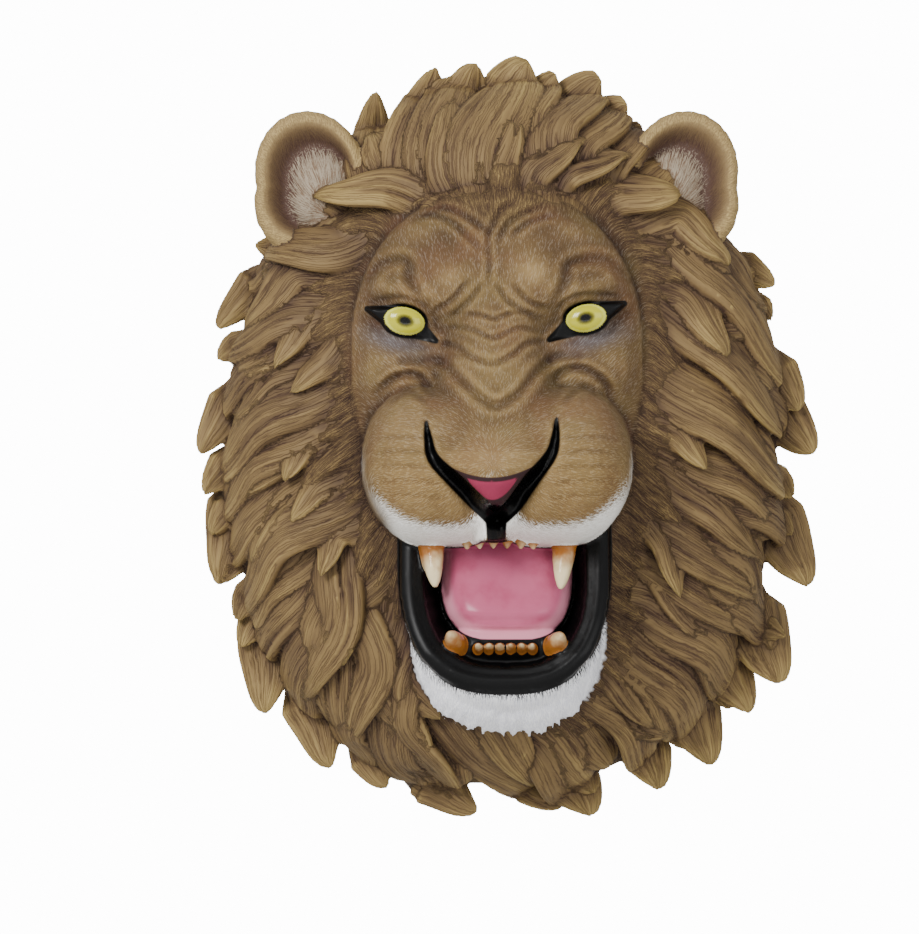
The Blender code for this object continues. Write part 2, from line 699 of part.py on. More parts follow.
def chin_fur():
    """Path, width and lift of the short tufts that hang from the edge of the chin."""
    chance = np.random.default_rng(COMB_SEED + 1)
    for angle in np.linspace(-CHIN_FUR_SPREAD, CHIN_FUR_SPREAD, CHIN_FUR_COUNT):
        turn = math.radians(angle + chance.uniform(-2.0, 2.0))
        out = (math.sin(turn), -math.cos(turn))
        reach = 1.0 / oval_share(out[0], out[1], (0.0, 0.0), CHIN_REACH, 2.4)
        length = CHIN_FUR_LENGTH * chance.uniform(0.8, 1.25)
        t = np.linspace(0.0, 1.0, RINGS_ALONG)
        along = reach - 12.0 + length * t
        bend = chance.uniform(-2.5, 2.5) * t**2
        x = CHIN_CENTRE[0] + along * out[0] + bend * out[1]
        z = CHIN_CENTRE[1] + along * out[1] - bend * out[0]
        depth = rim_depth(CHIN_CENTRE[1] + (reach - 12.0) * out[1]) - 5.0 - 34.0 * t**1.6
        yield x, depth, z, CHIN_FUR_WIDTH * chance.uniform(0.8, 1.2)


def tuft_skin(x, depth, z, width):
    """Rings of one tuft that hangs free of the hair bed."""
    t = np.linspace(0.0, 1.0, len(x))
    half_width = 0.5 * width * np.clip(1.04 - t**2.2, 0.05, 1.0)
    spine = np.stack([x, -depth, z], axis=-1)
    along = unit(np.gradient(spine, axis=0))
    side = unit(np.cross(along, (0.0, -1.0, 0.0)))
    facing = unit(np.cross(side, along))
    angles = np.linspace(0.0, 2.0 * math.pi, RINGS_AROUND, endpoint=False)
    flat = np.cos(angles)[:, None]
    proud = 0.6 * np.sin(angles)[:, None]
    return [spine[i] + half_width[i] * (side[i] * flat + facing[i] * proud) for i in range(len(x))]


def all_locks():
    return LEFT_LOCKS + BOTTOM_LOCKS + RIGHT_LOCKS + CROWN_LOCKS


def sculpt(shape):
    """Adds every form of the head to one bmesh, still as separate closed skins."""
    add_relief(shape)
    for row in all_locks():
        add_loft(shape, lock_rings(*row))
    for path, width, lift in combed_paths():
        add_loft(shape, lock_skin(path[:, 0], path[:, 1], width, lift, LOCK_TIP_CURL))
    for tuft in chin_fur():
        add_loft(shape, tuft_skin(*tuft))
    for side in (-1, 1):
        add_loft(shape, ear_rings(side))
    for rings in teeth():
        add_loft(shape, rings)
    bmesh.ops.recalc_face_normals(shape, faces=shape.faces[:])


def box_cutter(name, low, high, collection):
    shape = bmesh.new()
    size = np.subtract(high, low)
    bmesh.ops.create_cube(shape, size=1.0)
    for vert in shape.verts:
        vert.co = (np.array(vert.co) + 0.5) * size + low
    return finish_mesh(name, shape, collection)


def finish_mesh(name, shape, collection):
    """Object made from a shape in millimetres, at its real size in metres."""
    bmesh.ops.scale(shape, vec=(MM, MM, MM), verts=shape.verts[:])
    mesh = bpy.data.meshes.new(name)
    shape.to_mesh(mesh)
    shape.free()
    return new_object(name, mesh, collection)


def material(name, colour, roughness):
    made = bpy.data.materials.new(name)
    made.use_nodes = True
    shader = made.node_tree.nodes["Principled BSDF"]
    shader.inputs["Base Color"].default_value = (*colour, 1.0)
    shader.inputs["Roughness"].default_value = roughness
    return made


def as_cutter(piece):
    piece.hide_render = True
    piece.display_type = "WIRE"
    return piece


def cut_with(piece, tool):
    cut = piece.modifiers.new(tool.name, "BOOLEAN")
    cut.operation = "DIFFERENCE"
    cut.solver = "EXACT"
    cut.object = tool
    return cut


def applied(piece):
    """The piece's mesh with its modifiers applied."""
    bpy.context.view_layer.update()
    graph = bpy.context.evaluated_depsgraph_get()
    mesh = bpy.data.meshes.new_from_object(piece.evaluated_get(graph))
    piece.modifiers.clear()
    piece.data = mesh
    return mesh


def fuse(piece, voxel):
    """Fuses the separate skins of a piece into one closed surface."""
    remesh = piece.modifiers.new("fuse", "REMESH")
    remesh.mode = "VOXEL"
    remesh.voxel_size = voxel * MM
    remesh.adaptivity = 0.0
    applied(piece)


def thin_out(piece, triangles):
    """Reduces a piece to about that many triangles, keeping its sharpest forms."""
    piece.data.calc_loop_triangles()
    reduce = piece.modifiers.new("thin_out", "DECIMATE")
    reduce.ratio = triangles / len(piece.data.loop_triangles)
    reduce.use_collapse_triangulate = True
    applied(piece)


def eye_rings(centre, side, grow):
    """Rings of a domed oval eye, or of its pocket where grow is above 0."""
    tilt = side * EYE_TILT
    reach = (EYE_REACH[0] + grow, EYE_REACH[1] + grow)
    rings = [oval_ring(centre, reach, tilt, 1.0, EYE_BACK - grow)]
    if grow > 0:
        rings.append(oval_ring(centre, reach, tilt, 1.0, EYE_EDGE + EYE_DOME + 25.0))
        return rings
    for t in np.linspace(0.0, 0.92, 6):
        bulge = EYE_DOME * math.sin(t * math.pi / 2)
        rings.append(oval_ring(centre, reach, tilt, math.cos(t * math.pi / 2), EYE_EDGE + bulge))
    return rings


def lofted(name, rings, collection):
    shape = bmesh.new()
    add_loft(shape, rings)
    bmesh.ops.recalc_face_normals(shape, faces=shape.faces[:])
    return finish_mesh(name, shape, collection)


def slot_cutters(collection):
    """Keyhole slot for a screw head: a round pocket with a narrower neck above it."""
    round_end = bmesh.new()
    bmesh.ops.create_cone(
        round_end,
        cap_ends=True,
        segments=24,
        radius1=SLOT_HEAD_RADIUS,
        radius2=SLOT_HEAD_RADIUS,
        depth=2 * SLOT_DEPTH,
        matrix=Matrix.Translation((0, 0, SLOT_HEIGHT)) @ Matrix.Rotation(math.radians(90), 4, "X"),
    )
    low = (-SLOT_NECK_WIDTH / 2, -SLOT_DEPTH + 0.5, SLOT_HEIGHT)
    high = (SLOT_NECK_WIDTH / 2, SLOT_DEPTH, SLOT_HEIGHT + SLOT_RISE)
    return (
        as_cutter(finish_mesh("slot_pocket", round_end, collection)),
        as_cutter(box_cutter("slot_neck", low, high, collection)),
    )


def build_head(parts, cutters):
    shape = bmesh.new()
    sculpt(shape)
    head = finish_mesh("head", shape, parts)
    fuse(head, VOXEL)
    thin_out(head, HEAD_TRIANGLES)
    wall = box_cutter("wall", (-400.0, 0.0, -400.0), (400.0, 100.0, 400.0), cutters)
    cut_with(head, as_cutter(wall))
    for name, centre, side in zip(("left", "right"), EYE_CENTRES, (-1, 1)):
        pocket = lofted(f"{name}_eye_pocket", eye_rings(centre, side, EYE_GAP), cutters)
        cut_with(head, as_cutter(pocket))
    for tool in slot_cutters(cutters):
        cut_with(head, tool)
    head.data.materials.append(material("painted_resin", (0.27, 0.19, 0.10), 0.7))
    return head


def build_eyes(parts):
    finish = material("eye_glass", (0.60, 0.55, 0.12), 0.08)
    for name, centre, side in zip(("left_eye", "right_eye"), EYE_CENTRES, (-1, 1)):
        eye = lofted(name, eye_rings(centre, side, 0.0), parts)
        eye.data.materials.append(finish)


def main():
    for old in list(bpy.data.objects):
        bpy.data.objects.remove(old)
    parts = bpy.data.collections.new(COLLECTION_NAME)
    cutters = bpy.data.collections.new("cutters")
    for collection in (parts, cutters):
        bpy.context.scene.collection.children.link(collection)
    build_head(parts, cutters)
    build_eyes(parts)


if __name__ == "__main__":
    main()
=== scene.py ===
"""Lion head wall mask: a hand-painted resin casting with two glassy eyes, on a plain studio stage.

Sizes inside the classes are millimetres. X runs to the viewer's right and Z up, and depth is
measured forward from the wall, so a point at depth d has Y = -d. Meshes are made in metres.
"""

import logging
import math
from dataclasses import dataclass, field
from enum import IntEnum

import bmesh
import bpy
import numpy as np
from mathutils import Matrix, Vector
from mathutils.bvhtree import BVHTree


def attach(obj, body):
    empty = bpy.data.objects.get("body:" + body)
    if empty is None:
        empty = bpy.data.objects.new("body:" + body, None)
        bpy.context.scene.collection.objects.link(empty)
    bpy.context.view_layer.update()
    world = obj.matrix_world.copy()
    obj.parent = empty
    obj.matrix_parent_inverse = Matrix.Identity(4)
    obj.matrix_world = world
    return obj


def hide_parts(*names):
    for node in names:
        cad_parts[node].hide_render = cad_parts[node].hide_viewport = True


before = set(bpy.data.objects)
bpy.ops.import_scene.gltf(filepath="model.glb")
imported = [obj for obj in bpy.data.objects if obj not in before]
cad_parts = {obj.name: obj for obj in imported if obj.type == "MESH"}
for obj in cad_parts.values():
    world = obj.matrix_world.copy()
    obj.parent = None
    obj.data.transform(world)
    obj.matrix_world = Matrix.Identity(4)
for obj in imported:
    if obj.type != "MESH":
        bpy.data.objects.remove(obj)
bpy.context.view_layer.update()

logging.basicConfig(level=logging.INFO, format="%(message)s")
LOG = logging.getLogger("lion_mask")

Array = np.ndarray
Colour = tuple[float, float, float]
Path = tuple[tuple[float, float], ...]

MM = 0.001
BEHIND_WALL = 9.0
ROOT_BODY = "root"
# Points along each side of the random lattice that noise is read from
LATTICE = 256


class Kind(IntEnum):
    """What a skin of the sculpt is, which decides how it is painted."""

    RELIEF = 0
    LOCK = 1
    TUFT = 2
    EAR = 3
    TOOTH = 4


def between(stops: tuple, at: Array) -> Array:
    """Reads a value at each place from pairs of place and value, held beyond their ends."""
    places, values = zip(*sorted(stops))
    return np.interp(at, places, values)


def smooth_step(low: float, high: float, value: Array) -> Array:
    """Eased share of the way from low, where it is 0, to high, where it is 1. High may be below low."""
    share = np.clip((value - low) / (high - low), 0.0, 1.0)
    return share * share * (3.0 - 2.0 * share)


def soft_max(a: Array, b: Array, reach: Array) -> Array:
    """The larger of two depths, rounded where they are closer than the reach."""
    share = np.clip(0.5 + 0.5 * (a - b) / reach, 0.0, 1.0)
    return b * (1.0 - share) + a * share + reach * share * (1.0 - share)


def unit(vectors: Array) -> Array:
    """Vectors of length 1 in the same directions."""
    return vectors / np.maximum(np.linalg.norm(vectors, axis=-1, keepdims=True), 1e-9)


def path_distance(
    x: Array, z: Array, points: Path, sizes: tuple | None = None
) -> tuple[Array, Array, Array]:
    """Measures how far places lie from a path.

    Args:
        x: Places across.
        z: Places up.
        points: Corners of the path.
        sizes: A size at each corner, or None for 1 throughout.

    Returns:
        Distance, share of the way along the path, and size of the path at the nearest place.
    """
    nearest, place, size = np.full(np.shape(x), np.inf), np.zeros(np.shape(x)), np.zeros(np.shape(x))
    sizes = sizes or (1.0,) * len(points)
    legs = len(points) - 1
    for leg in range(legs):
        (ax, az), (bx, bz) = points[leg], points[leg + 1]
        length = math.hypot(bx - ax, bz - az)
        share = np.clip(((x - ax) * (bx - ax) + (z - az) * (bz - az)) / length**2, 0.0, 1.0)
        gap = np.hypot(x - ax - share * (bx - ax), z - az - share * (bz - az))
        closer = gap < nearest
        nearest = np.where(closer, gap, nearest)
        place = np.where(closer, (leg + share) / legs, place)
        size = np.where(closer, sizes[leg] + share * (sizes[leg + 1] - sizes[leg]), size)
    return nearest, place, size


def rounded_path(points: Path, steps: int = 4) -> Path:
    """Smooth curve through the points of a path.

    Args:
        points: Corners that the curve passes through.
        steps: Points made for each leg.

    Returns:
        Points along the curve.
    """
    corners = np.array(points, float)
    padded = np.vstack([2 * corners[0] - corners[1], corners, 2 * corners[-1] - corners[-2]])
    curve = []
    for i in range(1, len(padded) - 2):
        before, start, end, after = padded[i - 1 : i + 3]
        for t in np.arange(steps) / steps:
            bend = (2 * before - 5 * start + 4 * end - after) * t**2
            twist = (3 * start - before - 3 * end + after) * t**3
            curve.append(0.5 * (2 * start + (end - before) * t + bend + twist))
    curve.append(corners[-1])
    return tuple(tuple(point) for point in curve)


def linear(colour: Colour) -> tuple[float, float, float, float]:
    """Scene-linear colour with alpha 1, from a colour as a screen shows it."""
    return (*(v / 12.92 if v <= 0.04045 else ((v + 0.055) / 1.055) ** 2.4 for v in colour), 1.0)


def lattice_noise(x: Array, z: Array, width: float, seed: int) -> Array:
    """Soft random lumps.

    Args:
        x: Places across.
        z: Places up.
        width: Width of a lump.
        seed: Sets one pattern apart from another.

    Returns:
        Values around 0.
    """
    table = np.random.default_rng(seed).uniform(-1.0, 1.0, (LATTICE, LATTICE))
    column, row = np.floor(x / width).astype(int), np.floor(z / width).astype(int)
    across, up = x / width - column, z / width - row
    across, up = across * across * (3.0 - 2.0 * across), up * up * (3.0 - 2.0 * up)
    column, row = column % LATTICE, row % LATTICE
    after, above = (column + 1) % LATTICE, (row + 1) % LATTICE
    near = table[column, row] * (1.0 - across) + table[after, row] * across
    far = table[column, above] * (1.0 - across) + table[after, above] * across
    return near * (1.0 - up) + far * up


@dataclass(frozen=True)
class Oval:
    """A squarish oval seen from the front."""

    x: float
    z: float
    reach_x: float
    reach_z: float
    square: float = 2.0

    def share(self, x: Array, z: Array) -> Array:
        """How far out each place lies: 0 at the centre, 1 on the outline."""
        across = np.abs((x - self.x) / self.reach_x) ** self.square
        up = np.abs((z - self.z) / self.reach_z) ** self.square
        return (across + up) ** (1.0 / self.square)

    def outside(self, x: Array, z: Array) -> Array:
        """About how far each place lies outside the outline, below 0 inside it."""
        share = np.maximum(self.share(x, z), 1e-6)
        return np.hypot(x - self.x, z - self.z) * (1.0 - 1.0 / share)

    def dome(self, x: Array, z: Array, foot: float, rise: float, flat: float = 2.0) -> Array:
        """Depth of a rounded form on the oval.

        Args:
            x: Places across.
            z: Places up.
            foot: Depth at the outline.
            rise: Height of the middle above the foot.
            flat: Above 2, the middle is flatter and the sides are steeper.

        Returns:
            The form's depth, and a depth behind the wall outside the outline.
        """
        share = self.share(x, z)
        form = foot + rise * np.sqrt(np.clip(1.0 - share**flat, 0.0, 1.0))
        return np.where(share < 1.0, form, -BEHIND_WALL)


@dataclass(frozen=True)
class Pad(Oval):
    """An oval whose lower corner is squarer beside the middle of the face, and rounder outside."""

    inner_square: float = 5.0
    outer_square: float = 1.9

    def share(self, x: Array, z: Array) -> Array:
        """How far out each place lies: 0 at the centre, 1 on the outline."""
        inward = (x - self.x) * self.x < 0.0
        power = np.where(z < self.z, np.where(inward, self.inner_square, self.outer_square), self.square)
        across, up = np.abs((x - self.x) / self.reach_x), np.abs((z - self.z) / self.reach_z)
        return (across**power + up**power) ** (1.0 / power)


@dataclass(frozen=True)
class Mass(Oval):
    """An oval that is rounder above its middle than below it."""

    upper_square: float = 2.02

    def share(self, x: Array, z: Array) -> Array:
        """How far out each place lies: 0 at the centre, 1 on the outline."""
        power = np.where(z > self.z, self.upper_square, self.square)
        across, up = np.abs((x - self.x) / self.reach_x), np.abs((z - self.z) / self.reach_z)
        return (across**power + up**power) ** (1.0 / power)


@dataclass
class Skins:
    """Closed skins gathered for one mesh, with notes that the paint reads at each point."""

    places: list[Array] = field(default_factory=list)
    faces: list[Array] = field(default_factory=list)
    caps: list[list[int]] = field(default_factory=list)
    notes: list[Array] = field(default_factory=list)
    count: int = 0

    def add_grid(self, grid: Array, closed_round: bool) -> int:
        """Adds the points and faces of a grid.

        Args:
            grid: Points, as rows by columns by 3.
            closed_round: Whether each row is a ring.

        Returns:
            The number of the grid's first point.
        """
        rows, columns = grid.shape[:2]
        numbers = np.arange(rows * columns).reshape(rows, columns) + self.count
        beside = np.roll(numbers, -1, axis=1)
        here = numbers if closed_round else numbers[:, :-1]
        beside = beside if closed_round else beside[:, :-1]
        quads = np.stack([here[:-1], beside[:-1], beside[1:], here[1:]], axis=-1)
        self.faces.append(quads.reshape(-1, 4))
        self.places.append(grid.reshape(-1, 3))
        first, self.count = self.count, self.count + rows * columns
        return first

    def add_loft(self, rings: Array, along: Array, across: Array, seed: float, kind: Kind) -> None:
        """Adds a closed skin over a row of rings.

        Args:
            rings: Points, as rings by points by 3.
            along: Length run to each ring.
            across: Place of each point across the strand grain.
            seed: A number from 0 to 1 that sets this skin apart.
            kind: What the skin is.
        """
        rows, columns = rings.shape[:2]
        first = self.add_grid(rings, True)
        last = first + (rows - 1) * columns
        self.caps.append(list(range(first, first + columns))[::-1])
        self.caps.append(list(range(last, last + columns)))
        share = np.linspace(0.0, 1.0, rows)
        note = np.empty((rows, columns, 5))
        note[..., 0] = along[:, None]
        note[..., 1] = across[None, :]
        note[..., 2] = seed
        note[..., 3] = share[:, None]
        note[..., 4] = float(kind)
        self.notes.append(note.reshape(-1, 5))

    def mesh(self, name: str) -> bpy.types.Mesh:
        """One Blender mesh of all the skins, in metres.

        Args:
            name: Name of the mesh.

        Returns:
            The mesh, with its faces turned outward.
        """
        mesh = bpy.data.meshes.new(name)
        faces = np.concatenate(self.faces).tolist() + self.caps
        mesh.from_pydata((np.concatenate(self.places) * MM).tolist(), [], faces)
        shape = bmesh.new()
        shape.from_mesh(mesh)
        bmesh.ops.recalc_face_normals(shape, faces=shape.faces[:])
        shape.to_mesh(mesh)
        shape.free()
        return mesh

    def tree(self) -> BVHTree:
        """Search tree over the skins' sides, in millimetres."""
        return BVHTree.FromPolygons(np.concatenate(self.places).tolist(), np.concatenate(self.faces).tolist())


@dataclass(frozen=True)
class HairBed:
    """The rounded mass that carries every lock."""

    outline: Mass = Mass(4.0, 0.0, 147.0, 186.0, 2.3)
    edge: float = 19.0
    rise: float = 85.0
    fullness: float = 2.2
    crown_rise: float = 13.0
    # Middle x, middle z, reach x and reach z of the swell at the crown
    crown: tuple[float, float, float, float] = (2.0, 142.0, 72.0, 32.0)

    def depth(self, x: Array, z: Array) -> Array:
        """Depth of the bed's surface."""
        share = self.outline.share(x, z)
        mass = self.edge + self.rise * np.sqrt(np.clip(1.0 - share**self.fullness, 0.0, 1.0))
        middle_x, middle_z, wide, high = self.crown
        return mass + self.crown_rise * np.exp(-(((x - middle_x) / wide) ** 2) - ((z - middle_z) / high) ** 2)

    def edge_reach(self, centre: tuple[float, float], turn: float) -> float:
        """Distance from a centre to the bed's outline.

        Args:
            centre: Place that the distance is measured from.
            turn: Direction in degrees, clockwise from straight up.

        Returns:
            The distance in millimetres.
        """
        low, high = 0.0, 400.0
        for _ in range(24):
            middle = (low + high) / 2
            x = centre[0] + middle * math.sin(math.radians(turn))
            z = centre[1] + middle * math.cos(math.radians(turn))
            low, high = (middle, high) if self.outline.share(x, z) < 1.0 else (low, middle)
        return low


@dataclass(frozen=True)
class Mouth:
    """The open mouth: black lip, gum, tongue, chin and the depth of each."""

    opening: Oval = Oval(4.0, -62.0, 55.0, 69.5, 2.6)
    chin: Oval = Oval(5.0, -100.0, 50.0, 52.0, 2.4)
    gum: Oval = Oval(4.5, -109.0, 35.0, 10.0, 2.6)
    tongue: Oval = Oval(4.8, -64.0, 34.5, 41.0, 3.2)
    tongue_depth: Path = ((-106, 134), (-98, 136), (-90, 132), (-75, 122), (-60, 113), (-45, 106))
    rim: Path = ((-131, 146), (-112, 142), (-95, 135), (-70, 123), (-45, 112))
    top: float = -30.0
    lip_half_width: float = 6.5
    lip_roll: float = 3.0
    # Depth and width of the crease in the lip, and how far in from the lip's edge it runs
    lip_crease: float = 1.3
    lip_crease_at: float = 9.0
    gum_depth: float = 124.0
    gum_rise: float = 9.0
    floor_depth: float = 92.0
    tongue_fall: float = 16.0

    def inside(self, x: Array, z: Array) -> Array:
        """Whether each place lies within the lips."""
        return (self.opening.outside(x, z) < 0.0) & (z < self.top)

    def hollow_depth(self, x: Array, z: Array) -> Array:
        """Depth inside the mouth.

        Args:
            x: Places across.
            z: Places up.

        Returns:
            The depth of lip, gum, floor and tongue together.
        """
        outside = self.opening.outside(x, z)
        rim = between(self.rim, z)
        lip = rim - self.lip_roll * ((outside + self.lip_half_width) / self.lip_half_width) ** 2
        crease = np.exp(-(((outside + self.lip_crease_at) / self.lip_crease) ** 2))
        lip = lip - self.lip_crease * crease
        groove = rim - 9.0 - 2.6 * np.clip(-outside - 13.0, 0.0, 8.0)
        gum = self.gum.dome(x, z, self.gum_depth, self.gum_rise)
        share = self.tongue.share(x, z)
        middle = np.exp(-(((x - self.tongue.x) / 9.0) ** 2)) * smooth_step(-102.0, -88.0, z)
        fold = np.exp(-(((z + 95.0) / 2.2) ** 2)) * smooth_step(30.0, 20.0, np.abs(x - self.tongue.x))
        tongue = between(self.tongue_depth, z) - self.tongue_fall * share**6 - 0.8 * middle - 1.2 * fold
        tongue = np.where(share < 1.0, tongue, -BEHIND_WALL)
        inner = soft_max(np.maximum(groove, self.floor_depth), np.maximum(gum, tongue), 1.5)
        return np.where(outside > -13.5, np.maximum(lip, inner), inner)

    def chin_depth(self, x: Array, z: Array) -> Array:
        """Depth of the furred chin around the lip."""
        outside = self.chin.outside(x, z)
        fall = 26.0 * smooth_step(-26.0, 2.0, outside) ** 1.8
        return np.where((outside < 0) & (z < -52.0), between(self.rim, z) - 1.0 - fall, -BEHIND_WALL)


@dataclass(frozen=True)
class Face:
    """Forehead, brows, cheeks, nose and the two pads of the upper lip."""

    skull: Oval = Oval(0.0, 42.0, 77.0, 88.0, 2.3)
    skull_foot: float = 90.0
    skull_rise: float = 26.0
    pads: tuple[Pad, Pad] = (Pad(-36.5, -15.0, 34.5, 42.0, 2.25), Pad(36.0, -15.0, 35.0, 42.0, 2.25))
    pad_foot: float = 104.0
    pad_rise: float = 57.0
    block: Oval = Oval(-1.5, -26.0, 22.0, 28.0, 2.6)
    nose_middle: float = -3.5
    ridge: Path = (
        (150, 0), (136, 84), (124, 101), (104, 111), (84, 119), (62, 125), (42, 134),
        (20, 149), (4, 163), (-8, 173), (-15, 176), (-24, 173), (-34, 165), (-44, 150),
    )
    ridge_half_width: Path = (
        (104, 34), (62, 20), (42, 22), (20, 28), (2, 33), (-10, 31), (-18, 25), (-27, 14), (-38, 6),
    )
    ridge_fall: Path = ((60, 13), (10, 15), (-5, 17), (-38, 8))
    # Middle x, middle z, reach x, reach z and strength of each painted highlight on the brows, nose and
    # cheeks
    lights: tuple = (
        (-33.0, 83.0, 12.0, 11.0, 0.26), (17.5, 87.0, 12.0, 11.0, 0.26), (-3.0, -7.0, 20.0, 9.0, 0.12),
        (-62.0, 30.0, 14.0, 18.0, 0.14), (62.0, 32.0, 14.0, 18.0, 0.12), (-3.0, 34.0, 18.0, 12.0, 0.12),
    )
    # Middle x, middle z, reach x, reach z, rise, turn in degrees
    swellings: tuple = (
        (-23, 84, 13, 13, 7.5, 0), (20, 85, 14, 13, 7.5, 0),
        (-40, 112, 24, 12, 3.0, 12), (38, 112, 24, 12, 3.0, -12),
        (-52, 77, 22, 7, 8.0, -14), (50, 79, 22, 7, 8.0, 14),
        (-48, 58, 21, 12, -9.0, -20), (46, 60, 21, 12, -9.0, 20),
        (-58, 36, 18, 14, 5.0, 0), (58, 37, 18, 14, 5.0, 0),
        (-40, 26, 13, 8, 5.0, 20), (40, 28, 13, 8, 5.0, -20),
    )
    # Width, depth and the points that the crease runs through
    creases: tuple = (
        (1.8, 1.5, ((-4.5, 112), (-5, 100), (-4, 91), (-5, 80))),
        (2.0, 2.0, ((-4.5, 107), (-13, 114), (-24, 120), (-37, 121))),
        (2.0, 2.0, ((-7, 97), (-15, 105), (-23, 112), (-33, 117), (-44, 115))),
        (2.0, 1.8, ((-3.9, 107), (2, 119), (10, 125))),
        (2.0, 2.0, ((1, 104), (6, 112), (13, 117), (24, 121))),
        (2.0, 1.6, ((7, 106), (17, 113), (29, 117))),
        (3.2, 2.6, ((-72, 79), (-60, 91), (-48, 92), (-45, 82), (-38, 71))),
        (3.2, 2.6, ((29, 70), (35.5, 81), (39, 91), (57, 93), (70, 83))),
        (1.5, 1.7, ((-33, 66), (-24, 72), (-15, 82))),
        (1.6, 2.0, ((-25, 62), (-15, 71), (-8, 80))),
        (1.6, 2.0, ((-0.5, 80), (7, 70), (22, 62))),
        (1.5, 1.7, ((9, 79), (17, 71), (28, 67))),
        (1.4, 1.7, ((-21, 65), (-9, 64), (-1, 62), (8, 65), (17, 64))),
        (1.5, 1.9, ((-28, 58), (-15, 57), (-2, 52), (11, 57), (24, 55))),
        (1.9, 2.3, ((-34, 50), (-22, 48), (-13, 41.5), (-2, 39), (8, 43), (16, 49), (29, 51))),
        (
            2.7, 3.4,
            ((-49, 40), (-30, 40), (-21, 32), (-9, 21), (0, 17), (11, 23), (20, 34), (30, 42), (42, 43)),
        ),
        (2.4, 3.0, ((-63, 24), (-52, 32), (-41, 32), (-34, 23))),
        (2.4, 3.0, ((28, 28), (35, 35), (45, 36), (55, 30), (61, 20))),
        (1.8, 1.8, ((34, 18), (43, 26), (54, 22))),
        (1.8, 1.8, ((-57, 17), (-47, 24), (-37, 19))),
        (1.2, 1.2, ((-68, 70.5), (-55, 73.5), (-42, 71), (-33, 62))),
        (1.2, 1.2, ((29, 64), (36, 72), (46, 75), (59, 75), (67, 73))),
    )
    crease_share: float = 0.8
    whisker_depth: float = 0.9
    # Strength of the painted shade by the hairline and along the upper and outer edges of the pads
    hairline_shade: float = 0.22
    pad_shade: float = 0.16
    # Half width at each point, then the points
    nostrils: tuple = (
        (
            (0.8, 2.1, 3.3, 4.4, 4.7, 4.5),
            ((-36.8, 8), (-35.8, 0), (-33, -11), (-21.4, -22.7), (-9.8, -34.2), (-2, -42)),
        ),
        (
            (0.8, 2.1, 3.3, 4.4, 4.7, 4.5),
            ((30.2, 10), (29.8, 1.4), (27.2, -9), (17.2, -21.7), (8.5, -34.2), (0.8, -42)),
        ),
        ((6.0, 4.6), ((-0.8, -40), (-0.6, -58))),
    )
    nostril_depth: float = 6.0
    eyes: tuple = ((-48.5, 61.0), (46.5, 62.5))
    eye_reach: tuple = (11.0, 7.4)
    eye_tilt: float = 12.0
    # Inner and outer corner of each eye
    eye_corners: tuple = (((-32.0, 50.6), (-68.0, 67.6)), ((27.2, 51.2), (66.6, 70.4)))
    # Half width of the almond, from its inner corner to its outer one
    eye_half_widths: tuple = (0.5, 4.2, 6.4, 4.9, 0.7)
    eye_bed: float = 109.0

    def upper_depth(self, x: Array, z: Array) -> Array:
        """Depth of everything above the muzzle, without its creases.

        Args:
            x: Places across.
            z: Places up.

        Returns:
            The depth of skull, swellings and nose ridge together.
        """
        share = self.skull.share(x, z)
        face = self.skull.dome(x, z, self.skull_foot, self.skull_rise)
        inside = smooth_step(1.0, 0.85, share)
        for middle_x, middle_z, reach_x, reach_z, rise, turn in self.swellings:
            angle = math.radians(turn)
            along = (x - middle_x) * math.cos(angle) + (z - middle_z) * math.sin(angle)
            across = (z - middle_z) * math.cos(angle) - (x - middle_x) * math.sin(angle)
            face = face + inside * rise * np.exp(-((along / reach_x) ** 2) - (across / reach_z) ** 2)
        middle = self.nose_middle * smooth_step(60.0, 0.0, z)
        side = np.minimum(np.abs((x - middle) / between(self.ridge_half_width, z)), 3.0)
        ridge = between(self.ridge, z) - between(self.ridge_fall, z) * side**2.6
        return soft_max(face, ridge, 7.0)

    def muzzle_depth(self, x: Array, z: Array) -> Array:
        """Depth of the two pads and the block between them."""
        left, right = (pad.dome(x, z, self.pad_foot, self.pad_rise, 2.7) for pad in self.pads)
        return soft_max(soft_max(left, right, 4.0), self.block.dome(x, z, 120.0, 37.0), 4.0)

    def glow(self, x: Array, z: Array, outside: Array) -> Array:
        """Painted light and shade on the face: how much lighter the paint is as painted highlights on the
        brows, nose and cheeks, and darker as painted shade by the hairline and along the pads' edges.

        Args:
            x: Places across.
            z: Places up.
            outside: How far each place lies outside the face's edge.

        Returns:
            What to add to the tone of the paint.
        """
        # Painted highlights on the raised brows, the nose and the cheeks
        light = sum(
            share * np.exp(-(((x - mx) / wide) ** 2) - ((z - mz) / high) ** 2)
            for mx, mz, wide, high, share in self.lights
        )
        # Painted shade along the upper and outer edges of the pads
        pads = np.minimum(*(pad.outside(x, z) for pad in self.pads))
        edge = smooth_step(-11.0, -1.0, pads) * smooth_step(-30.0, 2.0, z)
        edge = edge * smooth_step(14.0, 30.0, np.abs(x))
        # Painted shade along the hairline, under the mane's edge
        hairline = smooth_step(-17.0, -2.0, outside) * smooth_step(55.0, 95.0, z)
        return light - self.hairline_shade * hairline - self.pad_shade * edge

    def nostril_lines(self) -> list[tuple[tuple, Path]]:
        """Half widths and points of each nostril slit, as smooth curves."""
        lines = []
        for sizes, points in self.nostrils:
            curve = rounded_path(points)
            steps = np.linspace(0.0, len(points) - 1.0, len(curve))
            lines.append((tuple(np.interp(steps, np.arange(len(points)), sizes)), curve))
        return lines

